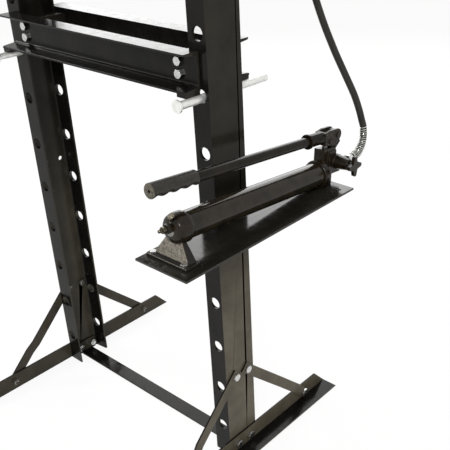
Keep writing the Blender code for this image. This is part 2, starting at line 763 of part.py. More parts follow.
def make_cylinder():
    """Make the cylinder body, cap, lock ring, gland and wiper."""
    bm = bmesh.new()
    collar_top = PLATE_BOTTOM - GAP
    turned(bm, Matrix.Identity(4), (
        (BORE_RADIUS, BODY_BOTTOM),
        (BODY_RADIUS, BODY_BOTTOM),
        (BODY_RADIUS, collar_top - COLLAR_HEIGHT),
        (COLLAR_RADIUS - COLLAR_CHAMFER, collar_top - COLLAR_HEIGHT),
        (COLLAR_RADIUS, collar_top - COLLAR_HEIGHT + COLLAR_CHAMFER),
        (COLLAR_RADIUS, collar_top),
        (BODY_RADIUS, collar_top),
        (BODY_RADIUS, BODY_TOP),
        (BORE_RADIUS, BODY_TOP),
    ), CYLINDER_SIDES, hollow=True)
    add_object("cylinder_body", bm, PAINT)

    bm = bmesh.new()
    ring_bottom = PLATE_TOP + GAP
    inner = BODY_RADIUS + 2 * SLIP
    turned(bm, Matrix.Identity(4), (
        (inner, ring_bottom),
        (LOCK_RADIUS, ring_bottom),
        (LOCK_RADIUS, ring_bottom + LOCK_HEIGHT),
        (inner, ring_bottom + LOCK_HEIGHT),
    ), CYLINDER_SIDES, hollow=True)
    lock = add_object("cylinder_lock_ring", bm, STEEL)
    slots = bmesh.new()
    for index in range(LOCK_SLOT_COUNT):
        turn = Matrix.Rotation(2 * math.pi * index / LOCK_SLOT_COUNT, 4, "Z")
        low = (LOCK_RADIUS - LOCK_SLOT / 2, -LOCK_SLOT / 2, ring_bottom + LOCK_HEIGHT / 2)
        high = (LOCK_RADIUS + OVERRUN, LOCK_SLOT / 2, ring_bottom + LOCK_HEIGHT + OVERRUN)
        box(slots, low, high, turn)
    combine(lock, slots, "DIFFERENCE")

    bm = bmesh.new()
    spigot = BORE_RADIUS - SLIP
    turned(bm, Matrix.Identity(4), (
        (ELBOW_SHANK_RADIUS + SLIP, BODY_TOP - SPIGOT_DEPTH),
        (spigot, BODY_TOP - SPIGOT_DEPTH),
        (spigot, BODY_TOP + GAP),
        (BODY_RADIUS, BODY_TOP + GAP),
        (BODY_RADIUS, CAP_TOP - COLLAR_CHAMFER),
        (BODY_RADIUS - COLLAR_CHAMFER, CAP_TOP),
        (ELBOW_SHANK_RADIUS + SLIP, CAP_TOP),
    ), CYLINDER_SIDES, hollow=True)
    add_object("cylinder_cap", bm, PAINT)

    bm = bmesh.new()
    rod_hole = ROD_RADIUS + SLIP
    turned(bm, Matrix.Identity(4), (
        (WIPER_RADIUS + SLIP, GLAND_BOTTOM),
        (BODY_RADIUS - COLLAR_CHAMFER, GLAND_BOTTOM),
        (BODY_RADIUS - COLLAR_CHAMFER, BODY_BOTTOM - GAP),
        (spigot, BODY_BOTTOM - GAP),
        (spigot, GLAND_TOP),
        (rod_hole, GLAND_TOP),
        (rod_hole, GLAND_BOTTOM + WIPER_HEIGHT + GAP),
        (WIPER_RADIUS + SLIP, GLAND_BOTTOM + WIPER_HEIGHT + GAP),
    ), CYLINDER_SIDES, hollow=True)
    add_object("cylinder_gland", bm, STEEL)

    bm = bmesh.new()
    turned(bm, Matrix.Identity(4), (
        (rod_hole, GLAND_BOTTOM),
        (WIPER_RADIUS, GLAND_BOTTOM),
        (WIPER_RADIUS, GLAND_BOTTOM + WIPER_HEIGHT),
        (rod_hole, GLAND_BOTTOM + WIPER_HEIGHT),
    ), CYLINDER_SIDES, hollow=True)
    add_object("rod_wiper", bm, RUBBER)


def make_ram():
    """Make the ram: rod, piston with its seal, return spring and the pressing foot."""
    bm = bmesh.new()
    foot_seat = ROD_BOTTOM + RAM_FOOT_SKIRT
    turned(bm, Matrix.Identity(4), (
        (ROD_RADIUS, ROD_BOTTOM),
        (ROD_RADIUS, PISTON_BOTTOM - GAP),
        (ROD_NECK_RADIUS, PISTON_BOTTOM - GAP),
        (ROD_NECK_RADIUS, PISTON_TOP),
    ), CYLINDER_SIDES)
    add_object("ram_rod", bm, CHROMED)

    bm = bmesh.new()
    neck = ROD_NECK_RADIUS + ROD_NECK_CLEARANCE
    outer = BORE_RADIUS - SLIP
    groove = outer - SEAL_DEPTH
    middle = (PISTON_TOP + PISTON_BOTTOM) / 2
    turned(bm, Matrix.Identity(4), (
        (neck, PISTON_BOTTOM),
        (outer, PISTON_BOTTOM),
        (outer, middle - SEAL_HEIGHT / 2 - GAP),
        (groove, middle - SEAL_HEIGHT / 2 - GAP),
        (groove, middle + SEAL_HEIGHT / 2 + GAP),
        (outer, middle + SEAL_HEIGHT / 2 + GAP),
        (outer, PISTON_TOP),
        (neck, PISTON_TOP),
    ), CYLINDER_SIDES, hollow=True)
    add_object("ram_piston", bm, STEEL)

    bm = bmesh.new()
    turned(bm, Matrix.Identity(4), (
        (groove + SLIP, middle - SEAL_HEIGHT / 2),
        (outer, middle - SEAL_HEIGHT / 2),
        (outer, middle + SEAL_HEIGHT / 2),
        (groove + SLIP, middle + SEAL_HEIGHT / 2),
    ), CYLINDER_SIDES, hollow=True)
    add_object("piston_seal", bm, SEAL_RED)

    bm = bmesh.new()
    skirt = ROD_RADIUS + SLIP
    bottom = foot_seat - RAM_FOOT_HEIGHT
    turned(bm, Matrix.Identity(4), (
        (skirt, ROD_BOTTOM - GAP),
        (skirt, foot_seat),
        (RAM_FOOT_RADIUS - COLLAR_CHAMFER, foot_seat),
        (RAM_FOOT_RADIUS, foot_seat - COLLAR_CHAMFER),
        (RAM_FOOT_RADIUS, bottom + COLLAR_CHAMFER),
        (RAM_FOOT_RADIUS - COLLAR_CHAMFER, bottom),
    ), CYLINDER_SIDES)
    add_object("ram_foot", bm, STEEL)

    low = GLAND_TOP + SPRING_WIRE / 2 + SPRING_SEAT_GAP
    high = PISTON_BOTTOM - SPRING_WIRE / 2 - SPRING_SEAT_GAP
    points = []
    total = SPRING_CURLS * SPRING_POINTS
    for index in range(total + 1):
        angle = 2 * math.pi * index / SPRING_POINTS
        spot = Vector((SPRING_RADIUS * math.cos(angle), SPRING_RADIUS * math.sin(angle), 0))
        spot.z = low + (high - low) * index / total
        points.append(spot)
    add_wire("return_spring", points, SPRING_WIRE / 2, 1, STEEL)
    report_self_gap("return_spring", points, SPRING_POINTS, SPRING_WIRE)


def add_wire(name, points, radius, resolution, look):
    """Make a closed tube along the points as a curve with filled caps."""
    curve = bpy.data.curves.new(name, "CURVE")
    curve.dimensions = "3D"
    curve.bevel_depth = radius
    curve.bevel_resolution = resolution
    curve.use_fill_caps = True
    spline = curve.splines.new("POLY")
    spline.points.add(len(points) - 1)
    for target, spot in zip(spline.points, points):
        target.co = (spot[0], spot[1], spot[2], 1)
    thing = bpy.data.objects.new(name, curve)
    bpy.context.scene.collection.objects.link(thing)
    curve.materials.append(finish(name, *look))
    return thing


def report_self_gap(name, points, points_a_turn, wire):
    """Print the least clear distance between neighbouring turns of a wound wire."""
    least = math.inf
    half_turn = points_a_turn // 2 + 1
    for index, spot in enumerate(points):
        for other in points[index + half_turn:index + 2 * points_a_turn]:
            least = min(least, (spot - other).length - wire)
    print(f"{name}: least gap between turns {least * 1000:.2f} mm")


def make_bed():
    """Make the two bed channels, their pads, spacers and bolts."""
    outline = channel_outline(BED_DEPTH, BED_FLANGE, BED_WALL, BED_FLANGE_WALL)
    middle = BED_BOTTOM + BED_DEPTH / 2
    half = BED_LENGTH / 2
    radius = FRAME_BOLT / 2 + SHANK_CLEARANCE
    for turn, name in ((-1, "bed_channel_front"), (1, "bed_channel_rear")):
        place = beam_place(turn, BED_WEB_PLACE, middle, BED_LENGTH)
        bm = bmesh.new()
        slab(bm, Matrix.Identity(4), outline, BED_LENGTH)
        beam = add_object(name, bm, PAINT, place)
        holes = bmesh.new()
        for side in (-1, 1):
            for lift in (-1, 1):
                spot = (side * BED_BOLT_PLACE, turn * BED_WEB_PLACE, middle + lift * BED_BOLT_OFFSET)
                round_cutter(holes, along(spot, (0, turn, 0)), radius, 0, BED_WALL, BOLT_HOLE_SIDES)
        combine(beam, holes, "DIFFERENCE")
        pads = bmesh.new()
        pad_near = BED_WEB_PLACE + BED_PAD_INSET
        pad_far = BED_WEB_PLACE + BED_FLANGE - BED_PAD_INSET
        rows = sorted((turn * pad_near, turn * pad_far))
        pad_end = half - BED_PAD_INSET
        for side in (-1, 1):
            ends = sorted((side * pad_end, side * (pad_end - BED_PAD_LENGTH)))
            box(pads, (ends[0], rows[0], PAD_BOTTOM), (ends[1], rows[1], BED_BOTTOM + BED_WALL / 2))
        combine(beam, pads, "UNION")

    names = []
    places = []
    face = BED_WEB_PLACE + BED_WALL
    reach = BED_WEB_PLACE - GAP
    tall = SPACER_HEIGHT / 2
    for side, side_name in ((-1, "left"), (1, "right")):
        spacer_middle = side * BED_BOLT_PLACE
        low = (spacer_middle - SPACER_WIDTH / 2, -reach, middle - tall)
        high = (spacer_middle + SPACER_WIDTH / 2, reach, middle + tall)
        bm = bmesh.new()
        box(bm, low, high)
        spacer = add_object("bed_spacer_" + side_name, bm, PAINT, smooth=False)
        holes = bmesh.new()
        for turn, height_name in ((-1, "lower"), (1, "upper")):
            height = middle + turn * BED_BOLT_OFFSET
            hole = along((spacer_middle, 0, height), (0, 1, 0))
            round_cutter(holes, hole, radius, -reach, reach, BOLT_HOLE_SIDES)
            seat = (spacer_middle, -face, height)
            places.append((seat, (0, -1, 0), FRAME_BOLT, 2 * face))
            names.append("bed_bolt_" + side_name + "_" + height_name)
        combine(spacer, holes, "DIFFERENCE")
    add_bolts(names, places)


def make_pins():
    """Make the two loose pins, each with a head at the front."""
    for side, name in ((-1, "bed_pin_left"), (1, "bed_pin_right")):
        place = Matrix.Translation((side * PIN_PLACE, 0, PIN_HEIGHT))
        shaft = along((0, 0, 0), (0, -1, 0))
        bm = bmesh.new()
        turned(bm, shaft, (
            (PIN_DIA / 2 - PIN_TIP, -PIN_BACK),
            (PIN_DIA / 2, -PIN_BACK + PIN_TIP),
            (PIN_DIA / 2, PIN_FRONT),
            (PIN_HEAD_DIA / 2, PIN_FRONT),
            (PIN_HEAD_DIA / 2, PIN_FRONT + PIN_HEAD_LENGTH),
        ), HOLE_SIDES)
        add_object(name, bm, ZINC, place)


def make_shelf():
    """Make the bent shelf plate and the two bolts through its lip."""
    inner = HALF_FRAME + GAP
    top = SHELF_TOP
    bm = bmesh.new()
    box(bm, (inner, -SHELF_FRONT, top - SHELF_WALL), (inner + SHELF_WIDTH, SHELF_BACK, top))
    shelf = add_object("pump_shelf", bm, PAINT, smooth=False)
    lip = bmesh.new()
    box(lip, (inner, -SHELF_FRONT + SHELF_LIP_INSET, top - SHELF_LIP),
        (inner + SHELF_WALL, SHELF_BACK - SHELF_LIP_INSET, top - SHELF_WALL / 2))
    combine(shelf, lip, "UNION")
    holes = bmesh.new()
    places = []
    radius = FRAME_BOLT / 2 + SHANK_CLEARANCE
    for turn in (-1, 1):
        seat = (inner + SHELF_WALL, turn * SHELF_BOLT_OFFSET, SHELF_BOLT_HEIGHT)
        round_cutter(holes, along(seat, (-1, 0, 0)), radius, 0, SHELF_WALL, BOLT_HOLE_SIDES)
        places.append((seat, (1, 0, 0), FRAME_BOLT, SHELF_WALL + GAP + POST_WALL))
    for seat, _, dia, grip in pump_bolt_places():
        spot = (seat[0], seat[1], top)
        hole = along(spot, (0, 0, -1))
        round_cutter(holes, hole, dia / 2 + SHANK_CLEARANCE, 0, SHELF_WALL, BOLT_HOLE_SIDES)
    outer = inner + SHELF_WIDTH
    spares = (
        (PUMP_X, -SHELF_SPARE_HOLE_FRONT - SHELF_SPARE_HOLE_DIA),
        (outer - SHELF_SPARE_HOLE_INSET, SHELF_SPARE_HOLE_BACK),
    )
    for x_place, y_place in spares:
        hole = along((x_place, y_place, top), (0, 0, -1))
        round_cutter(holes, hole, SHELF_SPARE_HOLE_DIA / 2, 0, SHELF_WALL)
    combine(shelf, holes, "DIFFERENCE")
    add_bolts(("shelf_bolt_front", "shelf_bolt_rear"), places)


def pump_bolt_places():
    """Give the seats of the bolts that hold the pump's two feet on the shelf."""
    places = []
    front_row = -PEDESTAL_BASE_FRONT + PEDESTAL_BOLT_INSET
    head_reach = HEAD_LEG_WIDTH / 2 - HEAD_BOLT_INSET
    head_grip = SHELF_WALL + GAP + HEAD_BOLT_DEPTH
    head_row = PUMP_Y + (HEAD_LEG_FRONT + HEAD_LEG_BACK) / 2
    for turn in (-1, 1):
        seat = (PEDESTAL_X + turn * PEDESTAL_BOLT_REACH, front_row, SHELF_TOP + GAP + PEDESTAL_FLANGE)
        places.append((seat, (0, 0, 1), SMALL_BOLT, PEDESTAL_FLANGE + GAP + SHELF_WALL))
        seat = (PUMP_X + turn * head_reach, head_row, SHELF_TOP - SHELF_WALL)
        places.append((seat, (0, 0, -1), SMALL_BOLT, head_grip))
    return places


def pump_place():
    """Place the pump: its own Y runs back along the tank, its own Z up from the tank."""
    origin = (PUMP_X, PUMP_Y, SHELF_TOP + PUMP_AXIS_ABOVE_SHELF)
    back = (0, math.cos(PUMP_TIP), -math.sin(PUMP_TIP))
    return frame_at(origin, (1, 0, 0), back)


def make_pump_axis():
    """Make the empty that carries all pieces of the pump."""
    axis = bpy.data.objects.new("pump_axis", None)
    bpy.context.scene.collection.objects.link(axis)
    axis.matrix_basis = pump_place()
    return axis


def front_cap_profile(grow):
    """Give the outer profile of the pump's front cap, grown outwards for a cutter."""
    face = FRONT_CAP_FACE
    back = FRONT_CAP_BACK
    return (
        (FRONT_CAP_RADIUS - FRONT_CAP_LIP / 2 + grow, back - grow),
        (FRONT_CAP_RADIUS + grow, back + FRONT_CAP_LIP),
        (FRONT_CAP_RADIUS + grow, face - FRONT_CAP_SHOULDER),
    ) + tuple(
        (FRONT_CAP_RADIUS * wide + grow, face - FRONT_CAP_SHOULDER * deep) for wide, deep in FRONT_CAP_DOME_SHARES
    ) + (
        (FRONT_CAP_FACE_RADIUS + grow, face + grow),
    )


def make_tank(axis):
    """Make the tank tube, the front cap and what is screwed into it."""
    forward = along((0, 0, 0), (0, -1, 0))
    inner = TANK_RADIUS - TANK_WALL
    bm = bmesh.new()
    turned(bm, forward, (
        (inner, TANK_BACK), (TANK_RADIUS, TANK_BACK), (TANK_RADIUS, TANK_FRONT), (inner, TANK_FRONT),
    ), ROUND_SIDES, hollow=True)
    add_object("pump_tank", bm, PAINT, parent=axis)

    bm = bmesh.new()
    hole = TANK_RADIUS + SOCKET_SLIP
    turned(bm, forward, (
        (hole, TANK_FRONT + GAP),
        (hole, FRONT_CAP_BACK),
    ) + front_cap_profile(0), ROUND_SIDES)
    cap = add_object("pump_front_cap", bm, CAST_PAINT, parent=axis)
    vent = along((0, 0, VENT_HEIGHT), (0, -1, 0))
    tilt = (0, -1, 1)
    spot = (0, -FILLER_PLACE, FILLER_HEIGHT)
    cuts = bmesh.new()
    place = along(spot, tilt)
    turned(cuts, place, (
        (FILLER_SHANK_RADIUS + SLIP, -FILLER_SHANK - OVERRUN / 2),
        (FILLER_SHANK_RADIUS + SLIP, 0),
        (FILLER_LAND_RADIUS, 0),
        (FILLER_LAND_RADIUS, OVERRUN * 3),
    ), SMALL_SIDES)
    round_cutter(cuts, vent, VENT_RADIUS + SLIP, TANK_FRONT + GAP, FRONT_CAP_FACE)
    combine(cap, cuts, "DIFFERENCE", parent=axis)

    bm = bmesh.new()
    local = Matrix.Identity(4)
    turned(bm, local, (
        (FILLER_SHANK_RADIUS, -FILLER_SHANK),
        (FILLER_SHANK_RADIUS, GAP),
        (FILLER_ACROSS / 2, GAP, FILLER_ACROSS),
        (FILLER_ACROSS / 2, FILLER_HEAD, FILLER_ACROSS),
        (FILLER_ACROSS / 3, FILLER_HEAD + GAP * 3),
    ), SMALL_SIDES)
    add_object("filler_screw", bm, STEEL, place, axis)

    bm = bmesh.new()
    start = FRONT_CAP_FACE + GAP
    turned(bm, vent, (
        (VENT_RADIUS + SLIP, start),
        (VENT_NUT_ACROSS / 2, start, VENT_NUT_ACROSS),
        (VENT_NUT_ACROSS / 2, start + VENT_NUT_LENGTH, VENT_NUT_ACROSS),
        (VENT_RADIUS + SLIP, start + VENT_NUT_LENGTH),
    ), SMALL_SIDES, hollow=True)
    add_object("vent_nut", bm, CAST_PAINT, parent=axis)

    bm = bmesh.new()
    hex_start = start + VENT_NUT_LENGTH + GAP
    hex_end = hex_start + VENT_HEX_LENGTH
    turned(bm, vent, (
        (VENT_RADIUS, TANK_FRONT + GAP),
        (VENT_RADIUS, hex_start),
        (VENT_HEX_ACROSS / 2, hex_start, VENT_HEX_ACROSS),
        (VENT_HEX_ACROSS / 2, hex_end, VENT_HEX_ACROSS),
        (VENT_TIP_RADIUS, hex_end),
        (VENT_TIP_RADIUS, hex_end + VENT_TIP_LENGTH),
    ), SMALL_SIDES)
    add_object("vent_fitting", bm, ZINC, parent=axis)


def frustum(bm, lower, upper):
    """Add a solid between two level rectangles given as (x0, y0, x1, y1, height)."""
    rings = []
    for x_low, y_low, x_high, y_high, height in (lower, upper):
        corners = ((x_low, y_low), (x_high, y_low), (x_high, y_high), (x_low, y_high))
        rings.append([bm.verts.new((x, y, height)) for x, y in corners])
    bm.faces.new(tuple(reversed(rings[0])))
    bm.faces.new(tuple(rings[1]))
    bridge(bm, rings[0], rings[1])


def make_pedestal(axis):
    """Make the cast front foot: a flange, a tapered body and a cradle for the cap."""
    bottom = SHELF_TOP + GAP
    half = PEDESTAL_BASE_LENGTH / 2
    flange_top = bottom + PEDESTAL_FLANGE
    bm = bmesh.new()
    middle = PEDESTAL_X
    box(bm, (middle - half, -PEDESTAL_BASE_FRONT, bottom), (middle + half, -PEDESTAL_BASE_BACK, flange_top))
    foot = add_object("pump_front_foot", bm, ROUGH_CAST, smooth=False)
    body = bmesh.new()
    foot_half = PEDESTAL_FOOT_LENGTH / 2
    top_half = PEDESTAL_TOP_LENGTH / 2
    top = SHELF_TOP + PEDESTAL_TOP_ABOVE_SHELF
    frustum(
        body,
        (middle - foot_half, -PEDESTAL_FOOT_FRONT, middle + foot_half, -PEDESTAL_FOOT_BACK,
         bottom + PEDESTAL_FLANGE / 2),
        (middle - top_half, -PEDESTAL_TOP_FRONT, middle + top_half, -PEDESTAL_TOP_BACK, top),
    )
    combine(foot, body, "UNION")
    cuts = bmesh.new()
    turned(cuts, along((0, 0, 0), (0, -1, 0)), front_cap_profile(GAP), ROUND_SIDES)
    combine(foot, cuts, "DIFFERENCE", parent=axis)
    holes = bmesh.new()
    pocket = PEDESTAL_FOOT_LENGTH * PEDESTAL_POCKET_SHARE / 2
    frustum(
        holes,
        (middle - pocket, -PEDESTAL_FOOT_FRONT + PEDESTAL_POCKET_WALL, middle + pocket,
         -PEDESTAL_FOOT_BACK - PEDESTAL_POCKET_WALL / 2, bottom - OVERRUN),
        (middle - pocket * PEDESTAL_POCKET_SHARE, -PEDESTAL_TOP_FRONT + PEDESTAL_POCKET_WALL / 2,
         middle + pocket * PEDESTAL_POCKET_SHARE, -PEDESTAL_TOP_BACK - PEDESTAL_POCKET_WALL / 2,
         bottom + PEDESTAL_POCKET_TOP),
    )
    combine(foot, holes, "DIFFERENCE")
    fix_bolts(foot, [place for place in pump_bolt_places() if place[0][1] < 0], -GAP, GAP)


def make_head(axis):
    """Make the pump head: one casting of collar, leg, valve block, column, lug and bosses."""
    back = along((0, 0, 0), (0, 1, 0))
    upright = along((0, PLUNGER_PLACE, 0), (0, 0, 1))
    sideways = along((0, BOSS_PLACE, BOSS_HEIGHT), (1, 0, 0))
    rearward = along((PORT_PLACE, 0, PORT_HEIGHT), (0, 1, 0))
    leg = HEAD_LEG_WIDTH / 2
    block = HEAD_BLOCK_WIDTH / 2
    deep = -TANK_RADIUS - PUMP_AXIS_ABOVE_SHELF

    bm = bmesh.new()
    turned(bm, back, (
        (HEAD_COLLAR_RADIUS - HEAD_COLLAR_CHAMFER, -HEAD_COLLAR_FRONT),
        (HEAD_COLLAR_RADIUS, -HEAD_COLLAR_FRONT + HEAD_COLLAR_CHAMFER),
        (HEAD_COLLAR_RADIUS, HEAD_COLLAR_BACK - HEAD_COLLAR_CHAMFER),
        (HEAD_COLLAR_RADIUS - HEAD_COLLAR_CHAMFER, HEAD_COLLAR_BACK),
    ), ROUND_SIDES)
    head = add_object("pump_head", bm, CAST_PAINT, parent=axis)

    body = bmesh.new()
    box(body, (-leg, HEAD_LEG_FRONT, deep), (leg, HEAD_LEG_BACK, HEAD_BLOCK_TOP / 2))
    combine(head, body, "UNION", parent=axis)
    body = bmesh.new()
    box(body, (-block, HEAD_BLOCK_FRONT, HEAD_BLOCK_BOTTOM), (block, HEAD_BLOCK_BACK, HEAD_BLOCK_TOP))
    combine(head, body, "UNION", parent=axis)
    body = bmesh.new()
    box(body, (-block, HEAD_BLOCK_FRONT, BARREL_FLOOR), (block, HEAD_CHEEK_BACK, HEAD_CHEEK_TOP))
    combine(head, body, "UNION", parent=axis)
    body = bmesh.new()
    column = COLUMN_WIDTH / 2
    box(body, (-column, COLUMN_FRONT, BARREL_FLOOR), (column, COLUMN_BACK, BARREL_TOP))
    combine(head, body, "UNION", parent=axis)
    body = bmesh.new()
    turned(body, sideways, (
        (BOSS_ROOT_RADIUS, BOSS_ROOT),
        (BOSS_END_RADIUS, BOSS_END - BOSS_CHAMFER),
        (BOSS_END_RADIUS - BOSS_CHAMFER, BOSS_END),
    ), HOLE_SIDES)
    combine(head, body, "UNION", parent=axis)
    body = bmesh.new()
    turned(body, rearward, ((PORT_RADIUS, BOSS_PLACE), (PORT_RADIUS, PORT_BACK)), HOLE_SIDES)
    combine(head, body, "UNION", parent=axis)
    lug_place = frame_at((-LUG_WIDTH / 2, 0, 0), (0, 1, 0), (0, 0, 1))
    outline = [(LUG_FRONT, HEAD_BLOCK_TOP / 2), (LUG_BACK, HEAD_BLOCK_TOP / 2), (LUG_BACK, LUG_HORN_LOW)]
    outline += [(LUG_HORN_BACK, LUG_HORN_HIGH - LUG_WIDTH / 4), (LUG_HORN_BACK, LUG_HORN_HIGH)]
    outline += arc((FULCRUM_PLACE, FULCRUM_HEIGHT), LUG_EYE_RADIUS, -30, 180, 8)
    body = bmesh.new()
    slab(body, lug_place, outline, LUG_WIDTH)
    combine(head, body, "UNION", parent=axis)

    below = bmesh.new()
    room = HEAD_BLOCK_BACK * 2
    box(below, (PUMP_X - room, PUMP_Y - room, SHELF_TOP - room), (PUMP_X + room, PUMP_Y + room, SHELF_TOP + GAP))
    combine(head, below, "DIFFERENCE")
    cuts = bmesh.new()
    turned(cuts, back, (
        (TANK_RADIUS + SOCKET_SLIP, -HEAD_COLLAR_FRONT - OVERRUN),
        (TANK_RADIUS + SOCKET_SLIP, -TANK_BACK + GAP),
    ), ROUND_SIDES)
    turned(cuts, upright, (
        (PLUNGER_RADIUS + SLIP, BARREL_FLOOR + OVERRUN / 2),
        (PLUNGER_RADIUS + SLIP, BARREL_TOP + OVERRUN),
    ), SMALL_SIDES)
    pivot = along((0, FULCRUM_PLACE, FULCRUM_HEIGHT), (1, 0, 0))
    round_cutter(cuts, pivot, FULCRUM_PIN_RADIUS + SLIP, -LUG_WIDTH / 2, LUG_WIDTH / 2)
    turned(cuts, sideways, (
        (STEM_RADIUS + SLIP, BOSS_END - STEM_DEPTH - GAP),
        (STEM_RADIUS + SLIP, BOSS_END + OVERRUN),
    ), SMALL_SIDES)
    turned(cuts, rearward, (
        (PORT_BORE_RADIUS + SLIP, PORT_BACK - NIPPLE_SHANK - GAP),
        (PORT_BORE_RADIUS + SLIP, PORT_BACK + OVERRUN),
    ), SMALL_SIDES)
    combine(head, cuts, "DIFFERENCE", parent=axis)
    fix_bolts(head, [place for place in pump_bolt_places() if place[0][1] > 0], GAP, -GAP)


def make_valve(axis):
    """Make the release valve's stem and its cross knob."""
    place = along((0, BOSS_PLACE, BOSS_HEIGHT), (1, 0, 0))
    bm = bmesh.new()
    hub_start = BOSS_END + STEM_OUT
    knob_start = hub_start + KNOB_HUB_LENGTH
    turned(bm, Matrix.Identity(4), (
        (STEM_RADIUS, BOSS_END - STEM_DEPTH),
        (STEM_RADIUS, hub_start - GAP),
    ), SMALL_SIDES)
    add_object("release_stem", bm, ZINC, place, axis)

    outline = []
    step = 360 / KNOB_LOBES
    reach = KNOB_REACH - KNOB_LOBE_RADIUS
    for index in range(KNOB_LOBES):
        middle = KNOB_TURN_DEGREES + index * step
        angle = math.radians(middle)
        centre = (reach * math.cos(angle), reach * math.sin(angle))
        outline += arc(centre, KNOB_LOBE_RADIUS, middle - 90, middle + 90, KNOB_ROUND_POINTS)
        between = math.radians(middle + step / 2)
        outline.append((KNOB_WAIST_RADIUS * math.cos(between), KNOB_WAIST_RADIUS * math.sin(between)))
    bm = bmesh.new()
    slab(bm, Matrix.Translation((0, 0, knob_start)), outline, KNOB_WIDTH)
    knob = add_object("release_knob", bm, CAST_PAINT, place, axis)
    hub = bmesh.new()
    turned(hub, Matrix.Identity(4), (
        (KNOB_HUB_RADIUS - BOSS_CHAMFER, hub_start),
        (KNOB_HUB_RADIUS, hub_start + BOSS_CHAMFER),
        (KNOB_HUB_RADIUS, knob_start + KNOB_WIDTH / 2),
    ), HOLE_SIDES)
    combine(knob, hub, "UNION", place, axis)


def make_plunger(axis):
    """Make the plunger with its eye, its pin and the gland nut on the barrel."""
    up = Matrix.Translation((0, PLUNGER_PLACE, 0))
    eye = along((0, 0, PLUNGER_PIN_HEIGHT), (1, 0, 0))
    half = PLUNGER_EYE_WIDTH / 2
    bm = bmesh.new()
    turned(bm, Matrix.Identity(4), (
        (PLUNGER_RADIUS, BARREL_FLOOR + OVERRUN / 2 + GAP),
        (PLUNGER_RADIUS, PLUNGER_PIN_HEIGHT - PLUNGER_PIN_RADIUS * 1.5),
    ), SMALL_SIDES)
    plunger = add_object("pump_plunger", bm, STEEL, up, axis)
    body = bmesh.new()
    turned(body, eye, ((PLUNGER_EYE_RADIUS, -half), (PLUNGER_EYE_RADIUS, half)), HOLE_SIDES)
    combine(plunger, body, "UNION", up, axis)
    hole = bmesh.new()
    round_cutter(hole, eye, PLUNGER_PIN_RADIUS + SLIP, -half, half)
    combine(plunger, hole, "DIFFERENCE", up, axis)

    pin_half = half + FORK_CLEARANCE + FORK_WALL + GAP
    head = PLUNGER_PIN_RADIUS * PIN_HEAD_SHARE
    bm = bmesh.new()
    turned(bm, eye, (
        (head, -pin_half - PIN_HEAD_WALL), (head, -pin_half), (PLUNGER_PIN_RADIUS, -pin_half),
        (PLUNGER_PIN_RADIUS, pin_half), (head, pin_half), (head, pin_half + PIN_HEAD_WALL),
    ), SMALL_SIDES)
    add_object("plunger_pin", bm, ZINC, up, axis)

    bm = bmesh.new()
    place = along((0, PLUNGER_PLACE, BARREL_TOP + GAP), (0, 0, 1))
    across = PLUNGER_GLAND_ACROSS
    turned(bm, place, (
        (PLUNGER_RADIUS + SLIP, 0),
        (across / 2, 0, across),
        (across / 2, PLUNGER_GLAND_HEIGHT, across),
        (PLUNGER_RADIUS + SLIP, PLUNGER_GLAND_HEIGHT),
    ), SMALL_SIDES, hollow=True)
    add_object("plunger_gland_nut", bm, STEEL, parent=axis)


